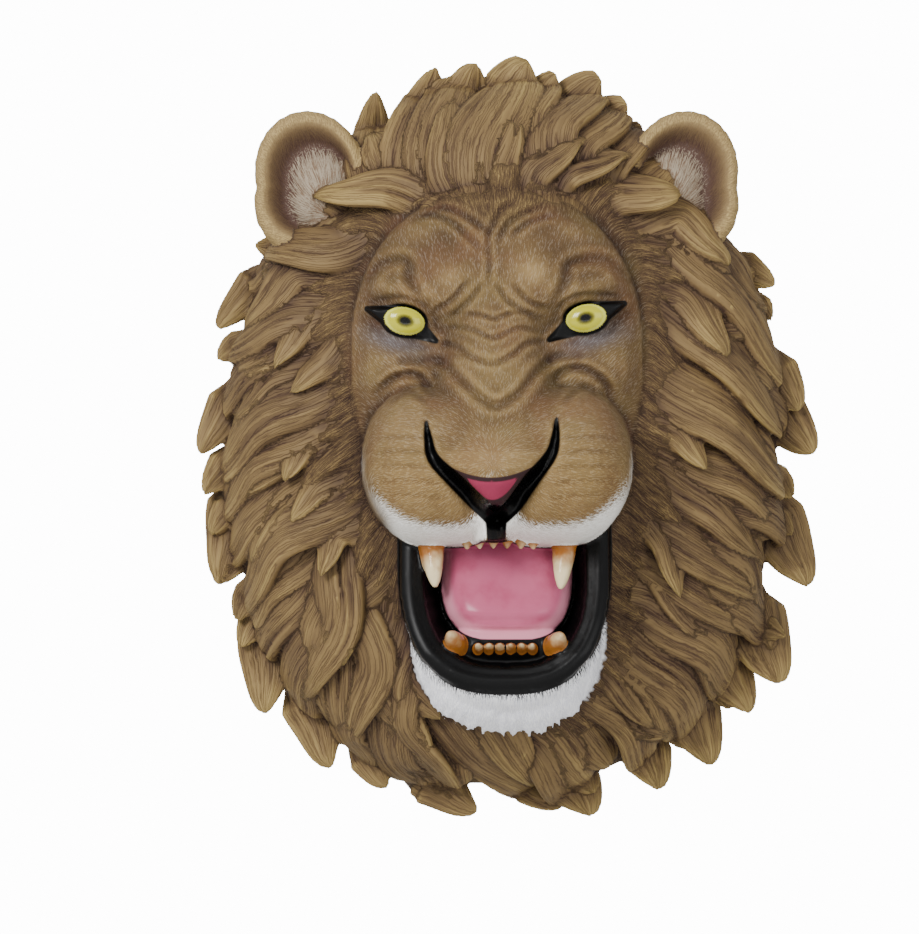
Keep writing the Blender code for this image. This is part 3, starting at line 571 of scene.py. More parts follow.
    def press_creases(self, x: Array, z: Array, depth: Array) -> Array:
        """Presses the folds, nostrils and whisker rows into a surface.

        Args:
            x: Places across.
            z: Places up.
            depth: Depth of the smooth surface.

        Returns:
            The depth with its folds.
        """
        for width, press, points in self.creases:
            width = self.crease_share * width
            gap, place, _ = path_distance(x, z, rounded_path(points))
            ends = smooth_step(0.0, 0.18, place) * smooth_step(1.0, 0.82, place)
            valley = np.exp(-((gap / width) ** 2))
            shoulder = 0.4 * np.exp(-(((gap - 2.1 * width) / width) ** 2))
            depth = depth - press * (valley - shoulder) * (0.25 + 0.75 * ends)
        for sizes, points in self.nostril_lines():
            gap, _, half_width = path_distance(x, z, points, sizes)
            depth = depth - self.nostril_depth * smooth_step(1.25, 0.35, gap / half_width)
        return depth - self.whisker_depth * self.whisker_rows(x, z)

    def whisker_rows(self, x: Array, z: Array) -> Array:
        """How much of a whisker groove lies at each place of the pads."""
        reach = np.abs(x)
        fan = (z + 14.0) - 0.22 * (reach - 20.0) + 0.004 * (reach - 20.0) ** 2
        wave = np.exp(-((((fan + 60.0) % 7.5) - 3.75) / 0.9) ** 2)
        area = smooth_step(24.0, 34.0, reach) * smooth_step(66.0, 56.0, reach)
        return wave * area * smooth_step(-40.0, -30.0, z) * smooth_step(10.0, 0.0, z)

    def eye_opening(self, x: Array, z: Array, number: int) -> Array:
        """Measures places against one almond eye opening.

        Args:
            x: Places across.
            z: Places up.
            number: 0 for the left eye, 1 for the right.

        Returns:
            Distance outside the opening, below 0 inside it.
        """
        centre_x, centre_z = self.eyes[number]
        lean = math.radians(self.eye_tilt) * (1 if number == 0 else -1)
        along = (x - centre_x) * math.cos(lean) - (z - centre_z) * math.sin(lean)
        across = (z - centre_z) * math.cos(lean) + (x - centre_x) * math.sin(lean)
        glass = Oval(0.0, 0.0, *self.eye_reach, 2.3).outside(along, across) - 0.5
        inner, outer = self.eye_corners[number]
        middle = (centre_x, centre_z)
        near, far = (
            tuple(0.45 * a + 0.55 * b for a, b in zip(corner, middle)) for corner in (inner, outer)
        )
        stations = (inner, near, middle, far, outer)
        gap, _, half_width = path_distance(x, z, stations, self.eye_half_widths)
        return np.minimum(glass, gap - half_width)

    def open_eyelids(self, x: Array, z: Array, depth: Array) -> Array:
        """Cuts an almond opening for each eye and raises the lids around it.

        Args:
            x: Places across.
            z: Places up.
            depth: Depth of the face before.

        Returns:
            The depth with both eyes open.
        """
        for number in range(2):
            opening = self.eye_opening(x, z, number)
            lid = 2.0 * np.exp(-(((opening - 1.7) / 1.5) ** 2))
            pit = smooth_step(0.8, -1.2, opening)
            depth = (depth + lid) * (1.0 - pit) + self.eye_bed * pit
        return depth


@dataclass(frozen=True)
class Comb:
    """Which way the hair runs at each place, read from a coarse grid."""

    # Columns by rows by the x and z parts of the direction
    ways: Array
    start_x: float
    start_z: float
    step: float

    def way(self, x: Array, z: Array) -> tuple[Array, Array]:
        """Reads which way the hair runs.

        Args:
            x: Places across.
            z: Places up.

        Returns:
            The direction's parts across and up.
        """
        columns, rows = self.ways.shape[:2]
        across = np.clip((x - self.start_x) / self.step, 0.0, columns - 1.001)
        up = np.clip((z - self.start_z) / self.step, 0.0, rows - 1.001)
        i, j = across.astype(int), up.astype(int)
        p, q = (across - i)[..., None], (up - j)[..., None]
        low = self.ways[i, j] * (1.0 - p) + self.ways[i + 1, j] * p
        high = self.ways[i, j + 1] * (1.0 - p) + self.ways[i + 1, j + 1] * p
        found = unit(low * (1.0 - q) + high * q)
        return found[..., 0], found[..., 1]

    def drawn_out(self, x: Array, z: Array, width: float, reach: float, seed: int) -> Array:
        """Random strands that follow the hair.

        Args:
            x: Places across.
            z: Places up.
            width: Half the distance from strand to strand.
            reach: How far each strand runs to either side.
            seed: Sets one pattern apart from another.

        Returns:
            Values around 0 that seldom pass 2 either way.
        """
        total = lattice_noise(x, z, width, seed)
        for ahead in (1.0, -1.0):
            walk_x, walk_z = np.array(x, float), np.array(z, float)
            for _ in range(int(reach / width)):
                across, up = self.way(walk_x, walk_z)
                walk_x, walk_z = walk_x + ahead * width * across, walk_z + ahead * width * up
                total = total + lattice_noise(walk_x, walk_z, width, seed)
        return total / max(float(np.std(total)), 1e-6)


@dataclass(frozen=True)
class Relief:
    """The whole front without locks, ears and teeth, as one depth over the outline."""

    bed: HairBed
    face: Face
    mouth: Mouth
    mane: "Mane"
    half_width: float = 166.0
    half_height: float = 204.0
    strand_depth: float = 0.34
    clump_depth: float = 2.0

    def fur_depth(self, x: Array, z: Array) -> Array:
        """Depth of the combed fur between the face and the locks."""
        comb = self.mane.comb()
        outside = self.mane.outside_face(x, z)
        strands = comb.drawn_out(x, z, 1.6, 14.0, 3) * smooth_step(-6.0, 4.0, outside)
        clumps = comb.drawn_out(x, z, 7.0, 28.0, 4) * smooth_step(0.0, 24.0, outside)
        return self.bed.depth(x, z) + self.strand_depth * strands + self.clump_depth * clumps

    def depth(self, x: Array, z: Array) -> Array:
        """Depth of the front.

        Args:
            x: Places across.
            z: Places up.

        Returns:
            The depth, which lies behind the wall outside the hair bed.
        """
        muzzle = self.face.muzzle_depth(x, z)
        blend = 3.0 + 13.0 * smooth_step(-22.0, 14.0, z)
        smooth = soft_max(self.face.upper_depth(x, z), muzzle, blend)
        face = self.face.open_eyelids(x, z, self.face.press_creases(x, z, smooth))
        face = np.where((muzzle < 0.0) & (z < self.mouth.top), -BEHIND_WALL, face)
        open_front = np.maximum(face, self.mouth.hollow_depth(x, z))
        solid_front = np.maximum(soft_max(self.fur_depth(x, z), face, 8.0), self.mouth.chin_depth(x, z))
        front = np.where(self.mouth.inside(x, z), open_front, solid_front)
        return np.where(self.bed.outline.share(x, z) < 1.0, front, -BEHIND_WALL)

    def add_to(self, skins: Skins, step: float) -> None:
        """Adds the relief as a closed block that reaches behind the wall plane.

        Args:
            skins: Where the block goes.
            step: Distance between grid points.
        """
        xs = np.arange(-self.half_width, self.half_width + step, step) + self.bed.outline.x
        zs = np.arange(-self.half_height, self.half_height + step, step)
        x, z = np.meshgrid(xs, zs, indexing="ij")
        front = np.stack([x, -self.depth(x, z), z], axis=-1)
        back = np.stack([x, np.full(x.shape, BEHIND_WALL + 3.0), z], axis=-1)
        first = skins.add_grid(front, False)
        second = skins.add_grid(back, False)
        rows, columns = x.shape
        numbers = np.arange(rows * columns).reshape(rows, columns)
        rim = np.concatenate([numbers[0, :-1], numbers[:-1, -1], numbers[-1, :0:-1], numbers[:0:-1, 0]])
        after = np.roll(rim, -1)
        skins.faces.append(np.stack([rim + first, after + first, after + second, rim + second], axis=-1))
        note = np.zeros((2 * rows * columns, 5))
        note[:, 4] = float(Kind.RELIEF)
        skins.notes.append(note)


@dataclass(frozen=True)
class Ground:
    """What the locks grow out of: the hair bed, and the rounded face where they begin."""

    bed: HairBed
    face: Face
    centre: tuple[float, float] = (2.0, -8.0)

    def depth(self, x: Array, z: Array) -> Array:
        """Depth of the ground."""
        skull = self.face.skull.dome(x, z, self.face.skull_foot, self.face.skull_rise)
        return soft_max(self.bed.depth(x, z), skull, 6.0)

    def normal(self, x: Array, z: Array) -> Array:
        """Direction that the bed faces at each place.

        Args:
            x: Places across.
            z: Places up.

        Returns:
            Vectors of length 1, as places by 3.
        """
        step = 1.0
        slope_x = (self.depth(x + step, z) - self.depth(x - step, z)) / (2 * step)
        slope_z = (self.depth(x, z + step) - self.depth(x, z - step)) / (2 * step)
        ease = np.clip(1.2 / np.maximum(np.hypot(slope_x, slope_z), 1e-6), 0.0, 1.0)
        return unit(np.stack([-slope_x * ease, -np.ones_like(slope_x), -slope_z * ease], axis=-1))


@dataclass(frozen=True)
class LockShape:
    """How a lock rises from the hair below it, swells, tapers to its tip and is combed into strands."""

    flatness: float = 0.30
    rim: float = 1.4
    widest: float = 0.42
    root_share: float = 0.8
    rise_length: float = 52.0
    tip_curl: float = 5.0
    tip_overshoot: float = 1.0
    start_height: float = -2.2
    strand_width: float = 3.0
    strand_depth: float = 0.65
    splits: int = 3
    # A lock narrower than this has one split
    split_from: float = 11.0
    split_depth: float = 2.0
    split_width: float = 1.0
    roll: float = 0.42
    ring_step: float = 1.8
    around_step: float = 1.1

    def grooves(
        self, u: Array, t: Array, half_width: Array, width: float, chance: np.random.Generator
    ) -> Array:
        """Depth of the strands and splits cut into a lock's face.

        Args:
            u: Place across the lock from -1 to 1, as a row.
            t: Share of the way to the tip, as a column.
            half_width: Half width there, as a column.
            width: The lock's greatest width.
            chance: Source of the small differences.

        Returns:
            Depths, as rings by points.
        """
        strands = max(2.0, round(width / self.strand_width))
        sway = 0.5 * np.sin(2.0 * math.pi * (0.8 * t + chance.uniform())) + 9.0 * chance.uniform()
        comb = math.pi * strands * (u + 1.0) + sway
        uneven = 0.65 + 0.35 * np.sin(0.37 * comb + sway)
        depth = self.strand_depth * (0.5 + 0.5 * np.cos(comb)) ** 2 * uneven
        depth = depth * smooth_step(0.0, 0.2, t)
        for _ in range(self.splits if width > self.split_from else 1):
            middle = chance.uniform(-0.75, 0.75) + chance.uniform(-0.15, 0.15) * np.sin(3.0 * t)
            start, reach = chance.uniform(0.0, 0.6), chance.uniform(0.25, 0.5)
            length = smooth_step(start, start + 0.15, t) * smooth_step(start + reach + 0.15, start + reach, t)
            cut = np.exp(-(((u - middle) * half_width / self.split_width) ** 2))
            depth = depth + self.split_depth * chance.uniform(0.5, 1.0) * cut * length
        return depth

    def add_to(
        self, skins: Skins, ground: Ground, path: Array, width: float, lift: float, blunt: float, seed: float
    ) -> None:
        """Adds one lock.

        Args:
            skins: Where the lock goes.
            ground: What the lock grows out of.
            path: Points of its middle line, as x and z.
            width: Its greatest width.
            lift: How far its tip lies above the ground.
            blunt: Shape of its tip, from 0 like a flame to 1 like a lobe.
            seed: A number from 0 to 1 that sets its strands apart.
        """
        chance = np.random.default_rng(int(seed * 1e6))
        t = np.linspace(0.0, 1.0, len(path))
        x, z = path[:, 0], path[:, 1]
        swell = np.sin(np.minimum(t / self.widest, 1.0) * math.pi / 2)
        swell = self.root_share + (1.0 - self.root_share) * swell
        fall = np.clip((t - self.widest) / (1.0 - self.widest), 0.0, 1.0)
        taper = (1.0 - fall ** (1.5 + 1.3 * blunt)) ** (0.85 - 0.35 * blunt)
        half_width = 0.5 * width * swell * np.maximum(taper, 0.03)
        length = float(np.sum(np.hypot(np.diff(x), np.diff(z))))
        half_thick = self.flatness * half_width + self.rim * taper
        top = lift + float(half_thick.max())
        risen = smooth_step(0.0, min(0.95, self.rise_length / length), t)
        height = self.start_height + (top - self.start_height) * risen
        curl = self.tip_curl * min(1.0, length / 60.0) * smooth_step(0.5, 1.0, t)
        depth = ground.depth(x, z) + height - half_thick + curl
        spine = np.stack([x, -depth, z], axis=-1)
        way = unit(np.gradient(spine, axis=0))
        side = unit(np.cross(way, ground.normal(x, z)))
        facing = unit(np.cross(side, way))
        points = int(np.clip(2.5 * width / self.around_step, 16, 72)) // 2 * 2
        angles = np.linspace(0.0, 2.0 * math.pi, points, endpoint=False)
        u, crown = np.cos(angles)[None, :], np.sin(angles)[None, :]
        arch = np.sign(crown) * np.abs(crown) ** 0.85
        turn = np.arctan2(x - ground.centre[0], z - ground.centre[1])
        free = side[:, 0] * np.cos(turn) - side[:, 2] * np.sin(turn)
        free = free * np.tanh((x - ground.centre[0]) / 15.0) + chance.uniform(-0.3, 0.3)
        roll = self.roll * free * half_width * smooth_step(0.05, 0.6, t)
        proud = half_thick[:, None] * arch + roll[:, None] * u
        cut = self.grooves(u, t[:, None], half_width[:, None], width, chance)
        proud = proud - np.minimum(cut, 0.55 * half_thick[:, None]) * smooth_step(0.15, 0.7, crown)
        rings = (
            spine[:, None, :]
            + side[:, None, :] * (half_width[:, None] * u)[..., None]
            + facing[:, None, :] * proud[..., None]
        )
        run = np.concatenate([[0.0], np.cumsum(np.linalg.norm(np.diff(spine, axis=0), axis=1))])
        skins.add_loft(rings, run, 0.5 * width * np.cos(angles), seed, Kind.LOCK)


@dataclass(frozen=True)
class Mane:
    """Every lock of the mane: the named ones that make the outline, and the combed rings inside."""

    bed: HairBed
    ground: Ground
    shape: LockShape = LockShape()
    # Root x, root z, tip x, tip z, width, bow, layer, and how blunt where it differs from its layer
    named: tuple = ()
    # The last layer lies over the ears
    layer_lift: tuple = (3.0, 3.5, 3.0, 2.5, 9.0)
    layer_blunt: tuple = (0.7, 0.55, 0.35, 0.25, 0.4)
    layer_width: tuple = (1.1, 1.2, 1.25, 1.3, 1.2)
    layer_run_up: tuple = (0.35, 0.35, 0.35, 0.30, 0.30)
    # Count, share of the way out, length, width, lift
    rings: tuple = (
        (24, 0.40, 96.0, 28.0, 0.0),
        (24, 0.20, 90.0, 25.0, 0.5),
    )
    ring_blunt: float = 0.45
    # A combed lock of fewer points is left out
    shortest: int = 14
    seed: int = 11
    stray: float = 7.0
    wave: float = 14.0
    centre: tuple[float, float] = (2.0, -8.0)
    comb_reach: float = 14.0
    # Place round the face and the way the hair runs there, in degrees clockwise from straight up
    flow: Path = (
        (0, 12), (22, 45), (36, 85), (52, 124), (75, 138), (100, 142), (140, 136), (180, 134), (200, 140),
        (218, 168), (236, 196), (256, 216), (276, 228), (298, 238), (314, 262), (326, 290), (342, 340),
        (360, 372),
    )
    # Edge of the face, where the mane begins, round from the middle of the hairline
    face_edge: Path = (
        (0, 113), (28, 122), (54, 120), (75, 93), (80, 49), (74, 15), (71, -7), (61, -51), (55, -85),
        (52, -114), (38, -138), (4, -150), (-25, -142), (-42, -114), (-47, -70), (-58, -42), (-70, -1),
        (-74, 20), (-79, 49), (-72, 91), (-51, 123), (-26, 124),
    )

    def steps(self, length: float) -> int:
        """Number of rings for a lock of that length."""
        return int(np.clip(length / self.shape.ring_step, 12, 40))

    def named_path(self, row: tuple) -> Array:
        """Middle line of one named lock.

        Args:
            row: Its root, tip, width, bow and layer.

        Returns:
            Points of the line, as x and z.
        """
        root_x, root_z, tip_x, tip_z, _, bow, layer = row[:7]
        chord = np.array([tip_x - root_x, tip_z - root_z], float)
        chord *= 1.0 + self.shape.tip_overshoot / np.hypot(*chord)
        start = -self.layer_run_up[layer]
        t = np.linspace(start, 1.0, self.steps((1.0 - start) * float(np.hypot(*chord))))
        rise = np.array([-chord[1], chord[0]]) if chord[0] >= 0 else np.array([chord[1], -chord[0]])
        sway = 4.0 * t * (1.0 - t) * bow * (1.0 + 0.35 * np.sin(2.0 * math.pi * t))
        path = np.array([root_x, root_z]) + chord * t[:, None] + rise * sway[:, None]
        clear = self.outside_face(path[:, 0], path[:, 1]) > -2.0
        return path[int(np.argmax(clear)) :]

    def turn_of(self, x: Array, z: Array) -> Array:
        """Place round the face, in degrees clockwise from straight up."""
        return np.degrees(np.arctan2(x - self.centre[0], z - self.centre[1])) % 360.0

    def face_edge_reach(self, turn: Array) -> Array:
        """Distance from the middle of the flow to the edge of the face.

        Args:
            turn: Places round the face, in degrees.

        Returns:
            A distance in millimetres for each place.
        """
        stops = [
            (float(self.turn_of(x, z)), math.hypot(x - self.centre[0], z - self.centre[1]))
            for x, z in self.face_edge
        ]
        stops += [(at - 360.0, reach) for at, reach in stops] + [(at + 360.0, reach) for at, reach in stops]
        return between(tuple(stops), turn)

    def outside_face(self, x: Array, z: Array) -> Array:
        """How far each place lies outside the face's edge, below 0 inside it."""
        return np.hypot(x - self.centre[0], z - self.centre[1]) - self.face_edge_reach(self.turn_of(x, z))

    def comb(self) -> Comb:
        """Finds which way the hair runs: outward from the face, and as the named locks do beside them."""
        half_width, half_height, step = 172.0, 212.0, 4.0
        xs, zs = np.arange(-half_width, half_width, step), np.arange(-half_height, half_height, step)
        x, z = np.meshgrid(xs, zs, indexing="ij")
        flow = np.radians(between(self.flow, self.turn_of(x, z)))
        share = (0.12 + 2.5 * smooth_step(22.0, 0.0, self.outside_face(x, z)))[..., None]
        total = share * np.stack([np.sin(flow), np.cos(flow)], axis=-1)
        for row in self.named:
            path = self.named_path(row)
            ways = unit(np.gradient(path, axis=0))
            for number in range(0, len(path), 4):
                near = np.exp(-((x - path[number, 0]) ** 2 + (z - path[number, 1]) ** 2) / self.comb_reach**2)
                total = total + near[..., None] * ways[number]
        return Comb(unit(total), -half_width, -half_height, step)

    def combed(self) -> list[tuple[Array, float, float]]:
        """Middle line, width and lift of every combed lock, from the outline in towards the face."""
        chance = np.random.default_rng(self.seed)
        made = []
        for ring, (count, share, length, width, lift) in enumerate(self.rings):
            for i in range(count):
                turn = (i + 0.5 * (ring % 2) + chance.uniform(-0.3, 0.3)) * 360.0 / count
                near, far = float(self.face_edge_reach(turn)), self.bed.edge_reach(self.centre, turn)
                reach = near + (far - near) * (share + chance.uniform(-0.05, 0.05))
                x = self.centre[0] + reach * math.sin(math.radians(turn))
                z = self.centre[1] + reach * math.cos(math.radians(turn))
                span = min(length, 1.15 * (far - near) + 8.0) * chance.uniform(0.8, 1.2)
                stray = chance.uniform(-self.stray, self.stray)
                wave = chance.uniform(0.4, 1.0) * self.wave * chance.choice((-1.0, 1.0))
                path = self.comb_path(x, z, span, stray, wave)
                size, rise = width * chance.uniform(0.8, 1.25), lift + chance.uniform(-1.5, 1.5)
                if len(path) > self.shortest:
                    made.append((path, size, rise))
        return made

    def comb_path(self, x: float, z: float, span: float, stray: float, wave: float) -> Array:
        """Middle line of a lock that follows the flow of the hair.

        Args:
            x: Where it starts, across.
            z: Where it starts, up.
            span: Its length.
            stray: How far it turns from the flow, in degrees.
            wave: How far it swings to each side, in degrees.

        Returns:
            Points of the line, as x and z.
        """
        path = [(x, z)]
        steps = self.steps(span)
        for t in np.linspace(0.0, 1.0, steps)[1:]:
            here = float(self.turn_of(x, z))
            flow = float(between(self.flow, here))
            outward = (here - flow + 180.0) % 360.0 - 180.0
            swing = wave * math.sin(2.0 * math.pi * t)
            way = math.radians(flow + 0.45 * outward * (1.0 - t) + stray + swing)
            x += span / (steps - 1) * math.sin(way)
            z += span / (steps - 1) * math.cos(way)
            if self.bed.outline.share(x, z) > 1.0:
                break
            path.append((x, z))
        return np.array(path)

    def add_to(self, skins: Skins) -> None:
        """Adds every lock of the mane.

        Args:
            skins: The skins of the casting so far.
        """
        chance = np.random.default_rng(self.seed + 5)
        for path, width, lift in self.combed():
            seed = float(chance.uniform())
            self.shape.add_to(skins, self.ground, path, width, lift, self.ring_blunt, seed)
        for row in self.named:
            layer = row[6]
            blunt = row[7] if len(row) > 7 else self.layer_blunt[layer]
            width = row[4] * self.layer_width[layer]
            seed = float(chance.uniform())
            lift = self.layer_lift[layer]
            self.shape.add_to(skins, self.ground, self.named_path(row), width, lift, blunt, seed)


LEFT_LOCKS = (
    (-62, 110, -129, 104, 23, -0.10, 4), (-96, 102, -149, 59, 22, 0.10, 0),
    (-80, 92, -134, 58, 24, 0.16, 1), (-84, 68, -149, 42, 25, 0.10, 1, 0.5),
    (-82, 70, -117, 37, 15, 0.14, 3), (-78, 56, -109, 24, 14, -0.05, 3), (-112, 50, -158, -8, 25, 0.09, 0),
    (-100, 38, -139, 10, 16, 0.10, 2), (-98, 22, -156, -30, 27, 0.10, 1), (-92, 2, -112, -23, 15, 0.12, 3),
    (-104, -2, -152, -52, 23, 0.12, 0), (-82, -20, -108, -43, 14, 0.08, 3),
    (-116, -28, -149, -78, 25, 0.06, 0), (-124, -12, -148, -76, 24, 0.12, 0, 0.8),
    (-88, -38, -138, -98, 27, 0.14, 1), (-72, -44, -92, -73, 16, 0.16, 3),
    (-104, -66, -136, -112, 22, 0.10, 0), (-108, -84, -123, -147, 28, 0.14, 0),
    (-84, -72, -106, -140, 24, -0.10, 2), (-66, -78, -80, -120, 17, 0.16, 3),
    (-92, -104, -88, -176, 29, -0.17, 0), (-72, -96, -80, -160, 22, -0.14, 1),
)
BOTTOM_LOCKS = (
    (-52, -104, -31, -178, 25, -0.16, 2), (-72, -130, -58, -186, 26, -0.20, 0),
    (-58, -140, -10, -199, 30, -0.18, 0), (-52, -120, -18, -190, 26, -0.16, 1),
    (-24, -132, 20, -186, 24, 0.08, 2), (6, -146, 50, -202, 32, 0.10, 0),
    (-30, -146, 34, -198, 24, -0.06, 0), (4, -142, 52, -190, 24, 0.08, 1),
    (54, -134, 86, -188, 30, 0.14, 0), (80, -116, 114, -175, 32, 0.12, 0),
    (50, -112, 83, -153, 19, 0.06, 2), (-66, -152, -22, -196, 22, -0.08, 0, 0.8),
    (68, -116, 99, -166, 22, 0.10, 0, 0.8), (92, -98, 124, -145, 22, 0.10, 0, 0.8),
)
RIGHT_LOCKS = (
    (92, -96, 135, -147, 30, 0.12, 1), (108, -46, 147, -112, 22, 0.14, 0, 0.8),
    (114, -76, 150, -131, 33, 0.14, 0, 0.9), (92, -72, 155, -106, 21, -0.02, 1),
    (88, -48, 146, -85, 22, 0.00, 2), (98, -26, 138, -62, 22, 0.04, 2), (76, -38, 96, -84, 16, 0.08, 3),
    (122, -26, 166, -79, 32, 0.14, 0), (108, -12, 158, -52, 24, 0.08, 1), (98, 22, 158, -32, 30, 0.06, 1),
    (82, 10, 110, -17, 16, 0.10, 3), (130, 34, 169, -8, 28, 0.06, 0, 0.85),
    (104, 96, 162, 15, 31, 0.05, 0, 0.9), (104, 56, 153, 2, 26, 0.05, 1, 0.7),
    (92, 100, 147, 63, 26, 0.16, 1, 0.4), (80, 84, 121, 44, 20, 0.12, 2, 0.7),
    (99, 108, 149, 82, 21, 0.05, 0, 0.7), (72, 112, 123, 92, 20, 0.22, 4, 0.6),
)
CROWN_LOCKS = (
    (-62, 126, -64, 186, 22, -0.08, 0, 0.4), (-48, 122, -32, 199, 25, 0.07, 0, 0.4),
    (12, 150, 32, 195, 24, 0.10, 0, 0.9), (24, 136, 56, 192, 34, 0.16, 0, 1.0),
    (-34, 126, -24, 194, 25, 0.07, 0), (34, 128, 70, 179, 30, 0.16, 0, 1.0),
    (52, 122, 78, 167, 24, 0.12, 0, 0.9), (-26, 124, -11, 201, 27, 0.08, 0, 0.8),
    (-8, 118, 17, 202, 36, 0.10, 1, 0.9), (-12, 120, -21, 180, 22, -0.12, 1, 0.6),
    (2, 116, 12, 173, 18, 0.10, 2, 0.2), (12, 118, 46, 158, 20, 0.16, 2, 0.15),
    (22, 118, 70, 150, 22, 0.18, 2, 0.15), (42, 114, 97, 129, 22, 0.14, 4, 0.8),
    (-34, 124, -97, 129, 21, 0.08, 4),
)


@dataclass(frozen=True)
class ChinFur:
    """Short tufts along the lower edge of the chin."""

    mouth: Mouth
    seed: int = 12
    count: int = 58
    spread: float = 66.0
    length: float = 14.5
    width: float = 3.7
    inset: float = 8.0

    def add_to(self, skins: Skins) -> None:
        """Adds the row of tufts.

        Args:
            skins: The skins of the casting so far.
        """
        chance = np.random.default_rng(self.seed)
        edge = Oval(0.0, 0.0, self.mouth.chin.reach_x, self.mouth.chin.reach_z, self.mouth.chin.square)
        for angle in np.linspace(-self.spread, self.spread, self.count):
            turn = math.radians(angle + chance.uniform(-1.2, 1.2))
            out = (math.sin(turn), -math.cos(turn))
            reach = 1.0 / float(edge.share(*out)) - self.inset - chance.uniform(0.0, 3.0)
            t = np.linspace(0.0, 1.0, 12)
            size = smooth_step(self.spread + 5.0, 30.0, abs(angle))
            along = reach + self.length * chance.uniform(0.85, 1.12) * (0.45 + 0.55 * size) * t
            bend = chance.uniform(-1.5, 1.5) * t**2
            x = self.mouth.chin.x + along * out[0] + bend * out[1]
            z = self.mouth.chin.z + along * out[1] - bend * out[0]
            start = float(self.mouth.chin_depth(x[:1], z[:1])[0])
            depth = start - 1.5 - 15.0 * t**1.5
            width = self.width * chance.uniform(0.8, 1.2)
            add_tuft(skins, np.stack([x, -depth, z], axis=-1), width, float(chance.uniform()), Kind.TUFT)


def add_tuft(skins: Skins, spine: Array, width: float, seed: float, kind: Kind) -> None:
    """Adds a small lock that hangs free of the hair bed.

    Args:
        skins: Where the tuft goes.
        spine: Points of its middle line.
        width: Its width at the root.
        seed: A number from 0 to 1 that sets its strands apart.
        kind: What the tuft belongs to.
    """
    t = np.linspace(0.0, 1.0, len(spine))
    half_width = 0.5 * width * np.clip(1.04 - t**2.2, 0.05, 1.0)
    way = unit(np.gradient(spine, axis=0))
    side = unit(np.cross(way, (0.0, -1.0, 0.0)))
    facing = unit(np.cross(side, way))
    angles = np.linspace(0.0, 2.0 * math.pi, 14, endpoint=False)
    flat, proud = np.cos(angles)[None, :, None], 0.6 * np.sin(angles)[None, :, None]
    ring = side[:, None, :] * flat + facing[:, None, :] * proud
    rings = spine[:, None, :] + half_width[:, None, None] * ring
    run = np.concatenate([[0.0], np.cumsum(np.linalg.norm(np.diff(spine, axis=0), axis=1))])
    skins.add_loft(rings, run, 0.5 * width * np.cos(angles), seed, kind)


@dataclass(frozen=True)
class Ears:
    """Two cupped ears with a furred rim and pale hair inside."""

    centre: tuple[float, float] = (99.0, 140.0)
    reach: tuple[float, float] = (29.5, 34.5)
    tilt: float = 12.0
    # Share of the reach and depth from the wall: the back, the rim, the cup and the haired mound in it
    rings: Path = (
        (0.38, 12.0), (0.66, 22.0), (0.86, 36.0), (0.97, 46.0), (1.00, 54.0), (0.98, 60.0), (0.92, 63.0),
        (0.84, 63.5), (0.76, 62.0), (0.69, 57.0), (0.63, 52.5), (0.57, 51.5), (0.48, 55.0), (0.34, 58.0),
        (0.17, 59.5), (0.04, 60.0),
    )
    crest: float = 0.84
    crest_depth: float = 63.5
    mound: float = 0.56
    # How much fuller the lower outer corner is than an oval
    corner: float = 0.3
    cup_shift: tuple[float, float] = (-6.0, -9.0)
    hair_root: tuple[float, float] = (-8.0, -26.0)
    strands: int = 15
    strand_depth: float = 0.9

    def place(self, side: float, across: Array, up: Array) -> tuple[Array, Array]:
        """Turns a place in an ear's own lengths into x and z.

        Args:
            side: -1 for the left ear, 1 for the right.
            across: Distance across, positive away from the head.
            up: Distance up the ear.

        Returns:
            The x and z of each place.
        """
        lean = math.radians(self.tilt)
        out = across * math.cos(lean) + up * math.sin(lean)
        return side * (self.centre[0] + out), self.centre[1] + up * math.cos(lean) - across * math.sin(lean)

    def add_to(self, skins: Skins) -> None:
        """Adds both ears and the hair inside them.

        Args:
            skins: The skins of the casting so far.
        """
        angles = np.linspace(0.0, 2.0 * math.pi, 120, endpoint=False)
        shares = rounded_path(self.rings, 3)
        crest = min(range(len(shares)), key=lambda i: abs(shares[i][1] - self.crest_depth))
        for side in (-1.0, 1.0):
            rings, inward = [], []
            for number, (share, depth) in enumerate(shares):
                ruffle = 1.0 + 0.006 * np.sin(23.0 * angles + side) + 0.005 * np.sin(37.0 * angles)
                inside = smooth_step(self.crest, 0.4, share) if number > crest else 0.0
                out, low = np.maximum(np.cos(angles), 0.0), np.maximum(-np.sin(angles), 0.0)
                full = share * ruffle * (1.0 + 2.0 * self.corner * out * low)
                across = self.reach[0] * full * np.cos(angles) + inside * self.cup_shift[0]
                up = self.reach[1] * full * np.sin(angles) + inside * self.cup_shift[1]
                fan = np.arctan2(across - self.hair_root[0], up - self.hair_root[1])
                haired = smooth_step(self.mound, self.mound - 0.12, share) if number > crest else 0.0
                comb = np.abs(np.sin(self.strands * fan + 0.8 * np.sin(5.0 * fan)))
                strand = self.strand_depth * haired * comb
                x, z = self.place(side, across, up)
                rings.append(np.stack([x, -depth - strand, z], axis=-1))
                inward.append(1.0 - share if number > crest else 0.0)
            skins.add_loft(np.array(rings), np.arange(len(shares)) * 3.0, angles * 30.0, 0.3, Kind.EAR)
            skins.notes[-1][:, 3] = np.repeat(inward, len(angles))


